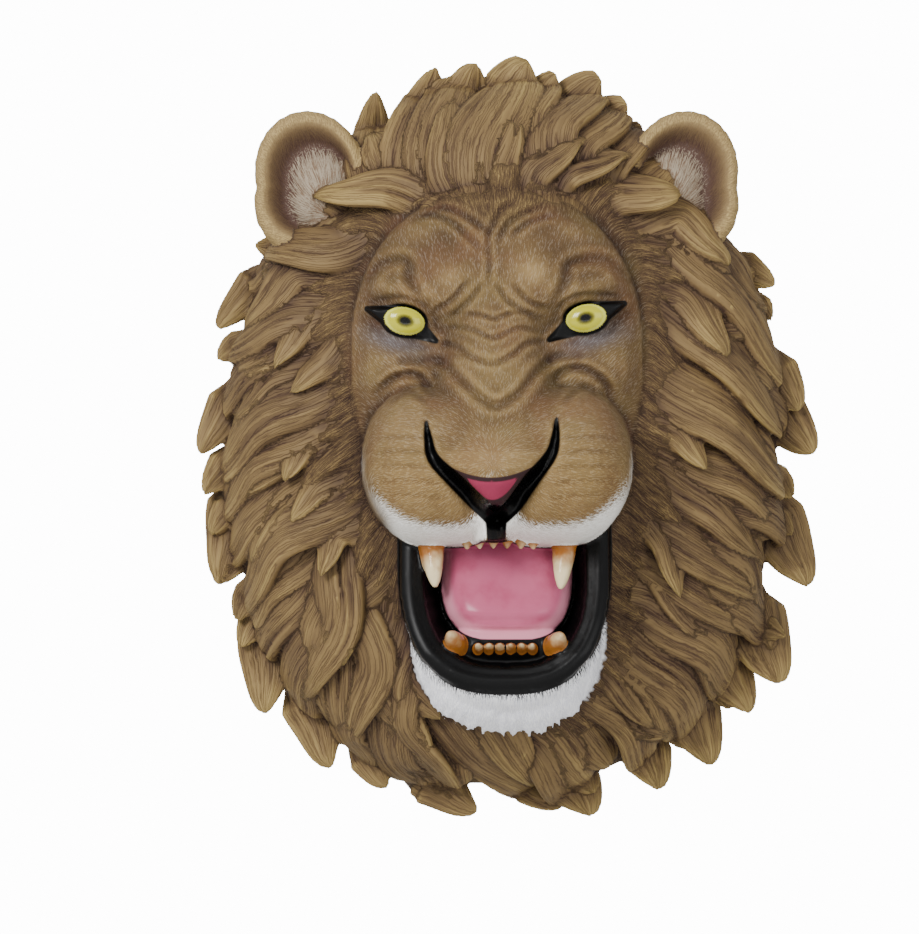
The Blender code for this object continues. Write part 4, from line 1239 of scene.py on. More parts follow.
@dataclass(frozen=True)
class Teeth:
    """Four canines and two rows of incisors."""

    # Root and tip as x, depth and z, then radius, bend and how pale the tip is
    canines: tuple = (
        ((-35.0, 111.0, -48.0), (-32.3, 128.0, -78.0), 7.0, 1.5, 1.0),
        ((35.8, 111.0, -48.0), (32.8, 128.0, -79.0), 7.0, 1.5, 1.0),
        ((-21.5, 125.0, -109.5), (-25.0, 146.0, -101.0), 6.6, 1.0, 0.62),
        ((30.0, 125.0, -110.0), (33.0, 146.0, -101.5), 6.6, 1.0, 0.62),
    )
    upper: tuple = (-15.8, -9.2, -2.1, 5.0, 12.2, 18.6)
    upper_radius: float = 3.5
    lower: tuple = (-10.1, -4.4, 1.2, 6.8, 12.4, 18.0)
    lower_radius: float = 2.6
    # How pale the tips of the upper and lower incisors are
    incisor_pale: tuple[float, float] = (0.66, 0.75)

    def add_tooth(
        self, skins: Skins, root: tuple, tip: tuple, radius: float, bend: float, pale: float
    ) -> None:
        """Adds one pointed tooth.

        Args:
            skins: Where the tooth goes.
            root: Its root, as x, depth and z.
            tip: Its tip, the same way.
            radius: Its radius at the root.
            bend: How far its middle stands off the line from root to tip.
            pale: How pale its tip is, from 0 to 1.
        """
        start, end = np.array(root, float), np.array(tip, float)
        axis = unit(end - start)
        side = unit(np.cross(axis, (0.0, 1.0, 0.31)))
        up = np.cross(side, axis)
        t = np.linspace(0.0, 1.0, 16)[:, None, None]
        angles = np.linspace(0.0, 2.0 * math.pi, 20, endpoint=False)[None, :, None]
        size = radius * np.sqrt(np.maximum(1.0 - t**1.7, 0.02))
        rings = start + (end - start) * t + up * bend * 4.0 * t * (1.0 - t)
        rings = rings + size * (np.cos(angles) * side + np.sin(angles) * up)
        length = float(np.linalg.norm(end - start))
        grain = angles[0, :, 0] * radius
        skins.add_loft(rings * (1.0, -1.0, 1.0), t[:, 0, 0] * length, grain, 0.5, Kind.TOOTH)
        skins.notes[-1][:, 3] *= pale

    def add_to(self, skins: Skins) -> None:
        """Adds every tooth.

        Args:
            skins: The skins of the casting so far.
        """
        for root, tip, radius, bend, pale in self.canines:
            self.add_tooth(skins, root, tip, radius, bend, pale)
        for x in self.upper:
            drop = 0.05 * abs(x - 1.4)
            tip = (x, 127.0, -57.4 - drop)
            self.add_tooth(skins, (x, 118.0, -48.0), tip, self.upper_radius, 0.0, self.incisor_pale[0])
        for x in self.lower:
            tip = (x, 142.0, -106.5)
            self.add_tooth(skins, (x, 129.0, -110.5), tip, self.lower_radius, 0.0, self.incisor_pale[1])


@dataclass(frozen=True)
class Surface:
    """Points of the finished mesh, in millimetres, with their normals and neighbours."""

    places: Array
    normals: Array
    edges: Array

    @classmethod
    def of(cls, mesh: bpy.types.Mesh) -> "Surface":
        """Reads a mesh that is in metres.

        Args:
            mesh: The mesh.

        Returns:
            Its points in millimetres.
        """
        places, normals = np.empty(len(mesh.vertices) * 3), np.empty(len(mesh.vertices) * 3)
        edges = np.empty(len(mesh.edges) * 2, dtype=np.int32)
        mesh.vertices.foreach_get("co", places)
        mesh.vertex_normals.foreach_get("vector", normals)
        mesh.edges.foreach_get("vertices", edges)
        return cls(places.reshape(-1, 3) / MM, normals.reshape(-1, 3), edges.reshape(-1, 2))

    def blurred(self, values: Array, times: int) -> Array:
        """Averages values with their neighbours'.

        Args:
            values: One row for each point.
            times: How often.

        Returns:
            The blurred values.
        """
        count = len(self.places)
        first, second = self.edges[:, 0], self.edges[:, 1]
        links = np.maximum(np.bincount(first, minlength=count) + np.bincount(second, minlength=count), 1)
        columns = values.reshape(count, -1).T.copy()
        for _ in range(times):
            for column in columns:
                total = np.bincount(first, weights=column[second], minlength=count)
                total += np.bincount(second, weights=column[first], minlength=count)
                column[:] = 0.5 * column + 0.5 * total / links
        return columns.T.reshape(values.shape)

    def hollows(self, times: int, scale: float) -> Array:
        """How far each point lies in a hollow, as a share of the scale. More times finds wider ones."""
        away = self.blurred(self.places, times) - self.places
        return np.sum(away * self.normals, axis=1) / scale

    def nearest(self, skins: Skins) -> tuple[Array, Array]:
        """Finds the nearest place on some skins for each point.

        Args:
            skins: The skins to search.

        Returns:
            The notes at that place, as points by 5, and the distance to it.
        """
        tree = skins.tree()
        found = [tree.find_nearest(Vector(place)) for place in self.places]
        numbers = np.array([hit[2] for hit in found])
        spots = np.array([hit[0] for hit in found])
        distance = np.array([hit[3] for hit in found])
        corners = np.concatenate(skins.faces)[numbers]
        gaps = np.linalg.norm(np.concatenate(skins.places)[corners] - spots[:, None, :], axis=2)
        weights = 1.0 / (gaps**2 + 1e-3)
        weights /= weights.sum(axis=1, keepdims=True)
        return np.sum(np.concatenate(skins.notes)[corners] * weights[..., None], axis=1), distance


@dataclass
class Casting:
    """The one-piece resin lion: sculpt, fused mesh and paint notes."""

    bed: HairBed = field(default_factory=HairBed)
    face: Face = field(default_factory=Face)
    mouth: Mouth = field(default_factory=Mouth)
    voxel: float = 1.15
    relief_step: float = 1.0
    triangles: int = 192000
    # Strength and repeats of the smoothing after the skins are fused
    ease: tuple[float, int] = (0.5, 2)
    # A point this near to a lock, tuft or ear belongs to it
    fur_reach: float = 1.0
    tooth_reach: float = 0.7
    sharp_from: float = 78.0
    slot_height: float = 130.0
    slot_radius: float = 7.0
    slot_neck: float = 6.0
    slot_rise: float = 13.0
    slot_depth: float = 8.0

    def __post_init__(self) -> None:
        """Makes the sub-assemblies that share the bed, face and mouth."""
        ground = Ground(self.bed, self.face)
        self.mane = Mane(self.bed, ground, named=LEFT_LOCKS + BOTTOM_LOCKS + RIGHT_LOCKS + CROWN_LOCKS)
        self.relief = Relief(self.bed, self.face, self.mouth, self.mane)
        self.hair, self.teeth, self.block = Skins(), Skins(), Skins()

    def sculpt(self) -> bpy.types.Object:
        """Makes every form as its own closed skin, and joins them in one object."""
        self.relief.add_to(self.block, self.relief_step)
        self.mane.add_to(self.hair)
        ChinFur(self.mouth).add_to(self.hair)
        Ears().add_to(self.hair)
        Teeth().add_to(self.teeth)
        joined = Skins()
        for skins in (self.block, self.hair, self.teeth):
            joined.places += skins.places
            joined.faces += [faces + joined.count for faces in skins.faces]
            joined.caps += [[number + joined.count for number in cap] for cap in skins.caps]
            joined.count += skins.count
        LOG.info("sculpt: %d points", joined.count)
        return new_object("lion_head", joined.mesh("lion_head"))

    def fuse(self, piece: bpy.types.Object) -> None:
        """Fuses the skins into one surface, thins it out and cuts its flat back.

        Args:
            piece: The object that holds the skins.
        """
        remesh = piece.modifiers.new("fuse", "REMESH")
        remesh.mode = "VOXEL"
        remesh.voxel_size = self.voxel * MM
        apply_modifiers(piece)
        ease = piece.modifiers.new("ease", "SMOOTH")
        ease.factor, ease.iterations = self.ease
        apply_modifiers(piece)
        thin = piece.modifiers.new("thin", "DECIMATE")
        thin.ratio = min(1.0, self.triangles / (2.0 * len(piece.data.polygons)))
        thin.use_collapse_triangulate = True
        apply_modifiers(piece)
        for tool in (self.wall_tool(), self.slot_tool()):
            cut = piece.modifiers.new("cut", "BOOLEAN")
            cut.solver = "EXACT"
            cut.object = tool
            apply_modifiers(piece)
            bpy.data.objects.remove(tool)
        piece.data.shade_smooth()
        piece.data.set_sharp_from_angle(angle=math.radians(self.sharp_from))

    def wall_tool(self) -> bpy.types.Object:
        """Everything behind the wall plane, as a cutter."""
        shape = bmesh.new()
        bmesh.ops.create_cube(shape, size=0.8)
        bmesh.ops.translate(shape, vec=(0.0, 0.4, 0.0), verts=shape.verts[:])
        return shape_object("wall_tool", shape)

    def slot_tool(self) -> bpy.types.Object:
        """The keyhole slot in the back, as one closed cutter."""
        opening = math.asin(self.slot_neck / 2 / self.slot_radius)
        turns = np.linspace(opening, 2.0 * math.pi - opening, 40)
        foot, radius, neck = self.slot_height, self.slot_radius, self.slot_neck / 2
        outline = [(radius * math.sin(a), foot + radius * math.cos(a)) for a in turns]
        top = foot + self.slot_rise
        for a in np.linspace(-math.pi / 2, math.pi / 2, 12):
            outline.append((neck * math.sin(a), top + neck * math.cos(a)))
        shape = bmesh.new()
        depths = (-self.slot_depth, 5.0)
        ends = [[shape.verts.new((x * MM, y * MM, z * MM)) for x, z in outline] for y in depths]
        for i in range(len(outline)):
            j = (i + 1) % len(outline)
            shape.faces.new((ends[0][i], ends[0][j], ends[1][j], ends[1][i]))
        shape.faces.new(ends[0][::-1])
        shape.faces.new(ends[1])
        bmesh.ops.recalc_face_normals(shape, faces=shape.faces[:])
        return shape_object("slot_tool", shape)

    def note_grain(self, mesh: bpy.types.Mesh, surface: Surface) -> Array:
        """Stores which way the hair runs at each point, and what it belongs to.

        Args:
            mesh: The finished mesh.
            surface: The same mesh, read.

        Returns:
            The kind at each point, as a number.
        """
        x, z = surface.places[:, 0], surface.places[:, 2]
        notes, distance = surface.nearest(self.hair)
        furred = distance < self.fur_reach
        kind = np.where(furred, np.round(notes[:, 4]), float(Kind.RELIEF))
        for column, name in enumerate(("along", "across", "lock", "tip")):
            store(mesh, name, np.where(furred, notes[:, column], 0.0))
        outside = self.mane.outside_face(x, z)
        relief = kind == Kind.RELIEF
        fur = smooth_step(-7.0, 5.0, outside) * relief
        store(mesh, "mane", np.maximum(kind == Kind.LOCK, fur))
        store(mesh, "combed", (kind != Kind.RELIEF).astype(float))
        store(mesh, "ear", (kind == Kind.EAR).astype(float))
        notes, distance = surface.nearest(self.teeth)
        store(mesh, "tooth", self.tooth_reach - distance)
        store(mesh, "tooth_tip", notes[:, 3])
        low = z < -78.0
        source_x = np.where(kind == Kind.EAR, np.sign(x) * 88.0, np.where(low, 5.0, -3.0))
        source_z = np.where(kind == Kind.EAR, 118.0, np.where(low, -66.0, -12.0))
        way = unit(np.stack([x - source_x, np.zeros(x.shape), z - source_z], axis=-1))
        across, up = self.mane.comb().way(x, z)
        combed = np.stack([across, np.zeros(x.shape), up], axis=-1)
        share = (fur * (self.mouth.chin.outside(x, z) > 2.0))[:, None]
        way = unit(way * (1.0 - share) + combed * share)
        way = unit(way - surface.normals * np.sum(way * surface.normals, axis=1, keepdims=True))
        layer = mesh.attributes.new("way", "FLOAT_VECTOR", "POINT")
        layer.data.foreach_set("vector", way.astype(np.float32).ravel())
        chin = relief & (self.mouth.chin.outside(x, z) < 2.0) & low
        long = np.maximum(chin, kind == Kind.EAR)
        store(mesh, "stroke", np.where(long, 0.005, 0.0018 + 0.0042 * fur))
        return kind

    def note_paint(self, mesh: bpy.types.Mesh, surface: Surface, kind: Array) -> None:
        """Stores where each paint goes. A mask in millimetres is above 0 inside its area.

        Args:
            mesh: The finished mesh.
            surface: The same mesh, read.
            kind: The kind at each point.
        """
        x, depth, z = surface.places[:, 0], -surface.places[:, 1], surface.places[:, 2]
        relief = kind == Kind.RELIEF
        pads = np.minimum(*(pad.outside(x, z) for pad in self.face.pads))
        muzzle = np.minimum(pads, self.face.block.outside(x, z))
        opening = self.mouth.opening.outside(x, z)
        lips = np.minimum(1.4 - opening, np.where(z > -75.0, muzzle - 0.2, 9.0))
        lips = np.where((z < self.mouth.top) & relief, lips, -9.0)
        nostrils = np.full(x.shape, -9.0)
        for sizes, points in self.face.nostril_lines():
            gap, _, half_width = path_distance(x, z, points, sizes)
            nostrils = np.maximum(nostrils, 0.95 * half_width - gap)
        liner = 0.9 - np.minimum(self.face.eye_opening(x, z, 0), self.face.eye_opening(x, z, 1))
        liner = np.where(depth > 95.0, liner, -9.0)
        store(mesh, "black", np.maximum(lips, np.where(relief, np.maximum(nostrils, liner), -9.0)))
        tongue = np.minimum(-self.mouth.tongue.outside(x, z), np.minimum(z + 104.5, -54.5 - z))
        store(mesh, "tongue", np.where(relief & (muzzle > -2.0), np.minimum(tongue, muzzle - 0.8), -9.0))
        store(mesh, "tongue_edge", self.mouth.tongue.share(x, z))
        top = -20.6 + 0.0125 * (x + 3.5) ** 2
        bottom = -39.0 + 0.80 * np.abs(x + 1.5)
        leather = np.minimum(np.minimum(top - z, z - bottom), 27.0 - np.abs(x + 1.5))
        store(mesh, "nose", np.where(relief & (depth > 140.0), leather, -9.0))
        arc = -32.0 + 0.066 * (x + 2.9) ** 2
        store(mesh, "wing", np.clip(np.maximum(arc - z, 2.3 - (top - z)), -3.0, 3.0))
        low = smooth_step(-14.0, -38.0, z) * smooth_step(2.0, -1.0, pads)
        wide = 2.0 + 8.0 * smooth_step(-26.0, -50.0, z)
        band = smooth_step(-wide - 9.0, -wide + 2.5, pads)
        rim = smooth_step(-3.5, -0.5, pads) * smooth_step(0.0, -16.0, z) * smooth_step(40.0, 50.0, np.abs(x))
        store(mesh, "pale", np.where(relief & (muzzle < 0.4), np.maximum(band * low, 0.6 * rim), 0.0))
        chin = relief & (z < -76.0) & (opening > 0.5) & (self.mouth.chin.outside(x, z) < 2.5)
        store(mesh, "chin", np.maximum(chin, kind == Kind.TUFT).astype(float))
        store(mesh, "lip_reach", opening)
        store(mesh, "ochre", smooth_step(4.0, -10.0, pads) * smooth_step(6.0, -26.0, z))
        under = sum(
            np.exp(-(((x - mx) / 15.0) ** 2) - ((z - mz - 0.25 * np.sign(mx) * (x - mx)) / 5.5) ** 2)
            for mx, mz in ((-54.0, 50.0), (51.0, 51.5))
        )
        store(mesh, "grey", np.where(relief, under, 0.0))
        # Painted highlights and painted shade of the face, which the paint adds to its tone
        store(mesh, "glow", np.where(relief, self.face.glow(x, z, self.mane.outside_face(x, z)), 0.0))
        # How far each point lies in a hollow, below 0 on a ridge: the paint turns these into painted shade in
        # hollows and lighter ridges
        store(mesh, "fine", surface.hollows(3, 0.35))
        store(mesh, "hollow", surface.hollows(14, 1.6))
        store(mesh, "deep", surface.hollows(70, 5.0))
        store(mesh, "back", smooth_step(1.2, 0.2, depth))


def new_object(name: str, mesh: bpy.types.Mesh) -> bpy.types.Object:
    """Puts a mesh into the scene as an object."""
    piece = bpy.data.objects.new(name, mesh)
    bpy.context.scene.collection.objects.link(piece)
    return piece


def shape_object(name: str, shape: bmesh.types.BMesh) -> bpy.types.Object:
    """Puts a bmesh into the scene as an object, and frees it."""
    mesh = bpy.data.meshes.new(name)
    shape.to_mesh(mesh)
    shape.free()
    return new_object(name, mesh)


def apply_modifiers(piece: bpy.types.Object) -> None:
    """Replaces a piece's mesh with the one that its modifiers make.

    Args:
        piece: The piece, which keeps no modifier.
    """
    bpy.context.view_layer.update()
    graph = bpy.context.evaluated_depsgraph_get()
    mesh = bpy.data.meshes.new_from_object(piece.evaluated_get(graph))
    piece.modifiers.clear()
    old, piece.data = piece.data, mesh
    bpy.data.meshes.remove(old)


def store(mesh: bpy.types.Mesh, name: str, values: Array) -> None:
    """Stores one number for each point of a mesh, for its material to read."""
    mesh.attributes.new(name, "FLOAT", "POINT").data.foreach_set("value", np.asarray(values, np.float32))


class Painter:
    """Builds a node material in short steps. Every step gives the socket that holds its result."""

    def __init__(self, name: str) -> None:
        """Starts a material with its shader."""
        self.material = bpy.data.materials.new(name)
        self.material.use_nodes = True
        self.nodes = self.material.node_tree.nodes
        self.links = self.material.node_tree.links
        self.shader = self.nodes["Principled BSDF"]

    def feed(self, socket: object, value: object) -> None:
        """Links a socket, or sets a number or colour on it."""
        if isinstance(value, bpy.types.NodeSocket):
            self.links.new(value, socket)
        else:
            socket.default_value = value

    def note(self, name: str) -> object:
        """A number stored on the mesh."""
        node = self.nodes.new("ShaderNodeAttribute")
        node.attribute_name = name
        return node.outputs["Fac"]

    def place(self) -> object:
        """The object's own coordinates, in metres."""
        return self.nodes.new("ShaderNodeTexCoord").outputs["Object"]

    def math(self, kind: str, a: object, b: object = 0.0, clamp: bool = False) -> object:
        """One sum.

        Args:
            kind: Blender's name for the operation.
            a: First number or socket.
            b: Second number or socket.
            clamp: Whether the result is held between 0 and 1.

        Returns:
            The result's socket.
        """
        node = self.nodes.new("ShaderNodeMath")
        node.operation = kind
        node.use_clamp = clamp
        self.feed(node.inputs[0], a)
        self.feed(node.inputs[1], b)
        return node.outputs[0]

    def band(
        self, value: object, low: float, high: float, to_low: float = 0.0, to_high: float = 1.0
    ) -> object:
        """Eased change from one number to another as a value goes from low to high.

        Args:
            value: The value's socket.
            low: Where the change begins.
            high: Where it ends.
            to_low: Result at low.
            to_high: Result at high.

        Returns:
            The result's socket.
        """
        node = self.nodes.new("ShaderNodeMapRange")
        node.interpolation_type = "SMOOTHSTEP"
        self.feed(node.inputs["Value"], value)
        for name, number in (("From Min", low), ("From Max", high), ("To Min", to_low), ("To Max", to_high)):
            node.inputs[name].default_value = number
        return node.outputs["Result"]

    def vector(self, x: object, y: object, z: object) -> object:
        """Three numbers as one vector."""
        node = self.nodes.new("ShaderNodeCombineXYZ")
        for socket, value in zip(node.inputs, (x, y, z)):
            self.feed(socket, value)
        return node.outputs[0]

    def noise(self, vector: object, scale: float, detail: float = 2.0, roughness: float = 0.5) -> object:
        """Soft noise around 0.5.

        Args:
            vector: Where it is read.
            scale: How many lumps there are to a unit.
            detail: How many finer layers it has.
            roughness: How strong those are.

        Returns:
            The noise's socket.
        """
        node = self.nodes.new("ShaderNodeTexNoise")
        self.feed(node.inputs["Vector"], vector)
        node.inputs["Scale"].default_value = scale
        node.inputs["Detail"].default_value = detail
        node.inputs["Roughness"].default_value = roughness
        return node.outputs["Fac"]

    def strokes(self, width: float, samples: int = 11) -> object:
        """Brush strokes that run the way the fur does, from 0 to 1 around 0.5.

        Args:
            width: Width of a stroke in metres.
            samples: How often the grain is read along each stroke.

        Returns:
            The strokes' socket.
        """
        way = self.nodes.new("ShaderNodeAttribute")
        way.attribute_name = "way"
        whole = self.nodes.new("ShaderNodeVectorMath")
        whole.operation = "SCALE"
        self.feed(whole.inputs[0], way.outputs["Vector"])
        self.feed(whole.inputs["Scale"], self.note("stroke"))
        place, total = self.place(), 0.0
        for number in range(samples):
            shift = self.nodes.new("ShaderNodeVectorMath")
            shift.operation = "MULTIPLY_ADD"
            self.feed(shift.inputs[0], whole.outputs[0])
            self.feed(shift.inputs[1], (number / (samples - 1) - 0.5,) * 3)
            self.feed(shift.inputs[2], place)
            total = self.math("ADD", total, self.noise(shift.outputs[0], 1.0 / width, 0.0))
        return self.band(total, 0.43 * samples, 0.57 * samples)

    def lines(self, value: object, width: float) -> object:
        """Thin lines, 0 where a noise passes through its middle and 1 away from there."""
        away = self.math("ABSOLUTE", self.math("SUBTRACT", value, 0.5))
        return self.band(away, 0.0, width)

    def mix(self, factor: object, first: object, second: object) -> object:
        """Mixes two colours.

        Args:
            factor: Share of the second colour.
            first: Colour at 0, as a screen shows it, or a socket.
            second: Colour at 1, the same way.

        Returns:
            The mixed colour's socket.
        """
        node = self.nodes.new("ShaderNodeMix")
        node.data_type = "RGBA"
        self.feed(node.inputs[0], factor)
        for socket, colour in ((node.inputs[6], first), (node.inputs[7], second)):
            self.feed(socket, linear(colour) if isinstance(colour, tuple) else colour)
        return node.outputs[2]

    def ramp(self, factor: object, stops: tuple) -> object:
        """Colour that changes over several stops.

        Args:
            factor: Where on the ramp.
            stops: Pairs of place and colour.

        Returns:
            The colour's socket.
        """
        node = self.nodes.new("ShaderNodeValToRGB")
        self.feed(node.inputs[0], factor)
        band = node.color_ramp
        while len(band.elements) < len(stops):
            band.elements.new(0.5)
        for element, (place, colour) in zip(band.elements, stops):
            element.position = place
            element.color = linear(colour)
        return node.outputs[0]

    def bump(self, height: object, distance: float, strength: float) -> None:
        """Gives the shader a bump.

        Args:
            height: Height from 0 to 1.
            distance: Height of 1 in metres.
            strength: Share of the bump that shows.
        """
        node = self.nodes.new("ShaderNodeBump")
        self.feed(node.inputs["Height"], height)
        self.feed(node.inputs["Distance"], distance)
        self.feed(node.inputs["Strength"], strength)
        self.links.new(node.outputs[0], self.shader.inputs["Normal"])


@dataclass(frozen=True)
class ResinPaint:
    """Hand-painted resin: brown hair with painted shade in its hollows, ridges and tips lighter, partly by
    the paint's own dry-brushed ochre and partly as painted highlight, and glossy wet parts.
    """

    hair_deep: Colour = (0.14, 0.092, 0.068)
    hair_dark: Colour = (0.265, 0.192, 0.148)
    hair_mid: Colour = (0.39, 0.310, 0.210)
    hair_light: Colour = (0.51, 0.418, 0.270)
    hair_tip: Colour = (0.65, 0.552, 0.340)
    face_dark: Colour = (0.235, 0.168, 0.110)
    face_mid: Colour = (0.395, 0.310, 0.202)
    face_light: Colour = (0.58, 0.480, 0.320)
    rose: Colour = (0.42, 0.285, 0.195)
    olive: Colour = (0.45, 0.385, 0.225)
    ochre: Colour = (0.56, 0.450, 0.262)
    cream: Colour = (1.0, 0.99, 0.965)
    cream_shade: Colour = (0.95, 0.935, 0.90)
    chin: Colour = (0.99, 0.99, 1.0)
    chin_shade: Colour = (0.91, 0.91, 0.94)
    grey: Colour = (0.41, 0.385, 0.390)
    ear_pale: Colour = (0.62, 0.565, 0.490)
    ear_shade: Colour = (0.46, 0.375, 0.295)
    ear_dark: Colour = (0.31, 0.225, 0.200)
    ear_rim: Colour = (0.69, 0.590, 0.390)
    rim_shade: Colour = (0.54, 0.450, 0.300)
    black: Colour = (0.006, 0.006, 0.009)
    tongue: Colour = (0.71, 0.355, 0.465)
    tongue_edge: Colour = (0.865, 0.58, 0.65)
    # Darker tongue paint, used for its blotches and for painted shade in its hollows
    tongue_dark: Colour = (0.61, 0.23, 0.345)
    nose: Colour = (0.60, 0.20, 0.31)
    wing: Colour = (0.20, 0.12, 0.13)
    tooth_root: Colour = (0.60, 0.37, 0.155)
    tooth_tip: Colour = (0.90, 0.83, 0.65)
    back: Colour = (0.17, 0.13, 0.10)
    gloss: float = 0.2
    # Height of the bump on the face and in the mane, in metres
    face_bump: float = 0.00018
    hair_bump: float = 0.00045

    def tone(
        self, painter: Painter, grain: object, grain_share: float, fine: float, hollow: float, deep: float
    ) -> object:
        """Lightness of the paint: the grain, less painted shade in every hollow; the same sums make the
        ridges lighter, partly as the paint's own dry-brushing and partly as painted highlight.

        Args:
            painter: What makes the nodes.
            grain: Strands or strokes around 0.5.
            grain_share: How strongly they show.
            fine: Strength of the painted shade in the finest grooves.
            hollow: Strength of the painted shade between strands.
            deep: Strength of the painted shade between locks.

        Returns:
            The tone's socket, around 0.
        """
        tone = painter.math("MULTIPLY", painter.math("SUBTRACT", grain, 0.5), grain_share)
        # Painted shade in the hollows; where the notes fall below 0 on ridges, the paint is lighter instead
        for name, strength in (("fine", fine), ("hollow", hollow), ("deep", deep)):
            tone = painter.math("SUBTRACT", tone, painter.math("MULTIPLY", painter.note(name), strength))
        patch = painter.noise(painter.place(), 24.0, 2.0)
        return painter.math("ADD", tone, painter.math("MULTIPLY", painter.math("SUBTRACT", patch, 0.5), 0.35))

    def hair_colour(self, painter: Painter, strand: object) -> object:
        """Colour of the mane: painted shade in the grooves and at the roots, and ochre on the ridges and
        tips, partly the paint's own and partly painted highlight.

        Args:
            painter: The material that is made.
            strand: Output that is high on the strands' ridges.

        Returns:
            Output with the colour.
        """
        # Painted shade in the mane's hollows and between its locks, and lighter ridges
        tone = self.tone(painter, strand, 0.42, 0.10, 0.16, 0.10)
        # Lighter towards each lock's tip, partly the paint's own golden tips and partly painted highlight,
        # with painted shade at the roots
        tone = painter.math("ADD", tone, painter.band(painter.note("tip"), 0.3, 1.0, 0.43, 0.60))
        own = painter.noise(painter.vector(painter.note("lock"), 0.0, 0.0), 37.0, 0.0)
        own = painter.math("SUBTRACT", own, 0.5)
        tone = painter.math("ADD", tone, painter.math("MULTIPLY", own, 0.25))
        stops = (
            (0.0, self.hair_deep), (0.25, self.hair_dark), (0.5, self.hair_mid),
            (0.76, self.hair_light), (1.0, self.hair_tip),
        )
        return painter.ramp(tone, stops)

    def face_colour(self, painter: Painter, stroke: object) -> object:
        """Colour of the short-haired face, with pale lips and grey under the eyes.

        Args:
            painter: The material that is made.
            stroke: Output that is high on the short hairs.

        Returns:
            Output with the colour.
        """
        # Painted shade in the face's creases and hollows, and lighter ridges
        tone = painter.math("ADD", self.tone(painter, stroke, 0.13, 0.17, 0.28, 0.15), 0.49)
        # Adds the face's painted highlights and painted shade
        tone = painter.math("ADD", tone, painter.note("glow"))
        colour = painter.ramp(tone, ((0.0, self.face_dark), (0.5, self.face_mid), (1.0, self.face_light)))
        patch = painter.noise(painter.place(), 38.0, 3.0)
        colour = painter.mix(painter.band(patch, 0.50, 0.66, 0.0, 0.32), colour, self.rose)
        colour = painter.mix(painter.band(patch, 0.50, 0.34, 0.0, 0.28), colour, self.olive)
        ochre = painter.math("MULTIPLY", painter.note("ochre"), painter.band(stroke, 0.0, 1.0, 0.15, 0.75))
        colour = painter.mix(ochre, colour, self.ochre)
        grey = painter.math("MULTIPLY", painter.note("grey"), painter.band(stroke, 0.0, 1.0, 0.6, 0.9))
        colour = painter.mix(grey, colour, self.grey)
        uneven = painter.math("MULTIPLY", painter.math("SUBTRACT", stroke, 0.5), 0.5)
        pale = painter.band(painter.math("ADD", painter.note("pale"), uneven), 0.15, 0.9)
        cream = painter.mix(painter.band(stroke, 0.1, 0.6), self.cream_shade, self.cream)
        return painter.mix(pale, colour, cream)

    def chin_colour(self, painter: Painter, stroke: object) -> object:
        """Colour of the white chin, with dark strokes where it meets the black lip."""
        colour = painter.mix(painter.band(stroke, 0.1, 0.55), self.chin_shade, self.chin)
        reach = painter.math("ADD", painter.note("lip_reach"), painter.math("MULTIPLY", stroke, 5.0))
        return painter.mix(painter.band(reach, 6.5, 2.0), colour, self.black)

    def ear_colour(self, painter: Painter, stroke: object) -> object:
        """Colour of an ear: ochre rim, then dark, then pale inside.

        Args:
            painter: The material that is made.
            stroke: Output that is high on the short hairs.

        Returns:
            Output with the colour.
        """
        uneven = painter.math("MULTIPLY", painter.math("SUBTRACT", stroke, 0.5), 0.10)
        inward = painter.math("ADD", painter.note("tip"), uneven)
        rim = painter.mix(painter.band(stroke, 0.0, 1.0), self.rim_shade, self.ear_rim)
        rim = painter.mix(painter.band(inward, 0.06, 0.42), rim, self.ear_dark)
        # Painted shade in the fine grooves of the hair inside the ear
        grain = painter.math("SUBTRACT", stroke, painter.math("MULTIPLY", painter.note("fine"), 0.5))
        hair = painter.mix(painter.band(grain, 0.0, 0.9), self.ear_shade, self.ear_pale)
        return painter.mix(painter.band(inward, 0.40, 0.52), rim, hair)

    def wet_colour(self, painter: Painter, colour: object) -> object:
        """Lays the nose leather, black lips, tongue and teeth over the fur.

        Args:
            painter: The material that is made.
            colour: Output with the colour of the fur.

        Returns:
            Output with the colour of everything.
        """
        nose = painter.mix(painter.band(painter.note("wing"), -0.5, 0.5), self.nose, self.wing)
        nose = painter.mix(painter.band(painter.note("nose"), 1.4, 0.2), nose, self.wing)
        colour = painter.mix(painter.band(painter.note("nose"), -0.4, 0.4), colour, nose)
        colour = painter.mix(painter.band(painter.note("black"), -0.5, 0.4), colour, self.black)
        blotch = painter.noise(painter.place(), 70.0, 3.0)
        tongue = painter.mix(painter.band(blotch, 0.42, 0.75, 0.0, 0.5), self.tongue, self.tongue_dark)
        # Painted shade: the tongue darker in its middle groove, its fold and other hollows
        tongue = painter.mix(painter.band(painter.note("hollow"), 0.1, 1.1), tongue, self.tongue_dark)
        rim = painter.band(painter.note("tongue_edge"), 0.80, 0.93, 0.0, 0.85)
        tongue = painter.mix(rim, tongue, self.tongue_edge)
        colour = painter.mix(painter.band(painter.note("tongue"), -0.35, 0.35), colour, tongue)
        stain = painter.math("SUBTRACT", painter.noise(painter.place(), 160.0, 2.0), 0.5)
        stain = painter.math("MULTIPLY", stain, 0.5)
        pale = painter.band(painter.math("ADD", painter.note("tooth_tip"), stain), 0.38, 0.85)
        tooth = painter.mix(pale, self.tooth_root, self.tooth_tip)
        return painter.mix(painter.band(painter.note("tooth"), 0.0, 0.25), colour, tooth)

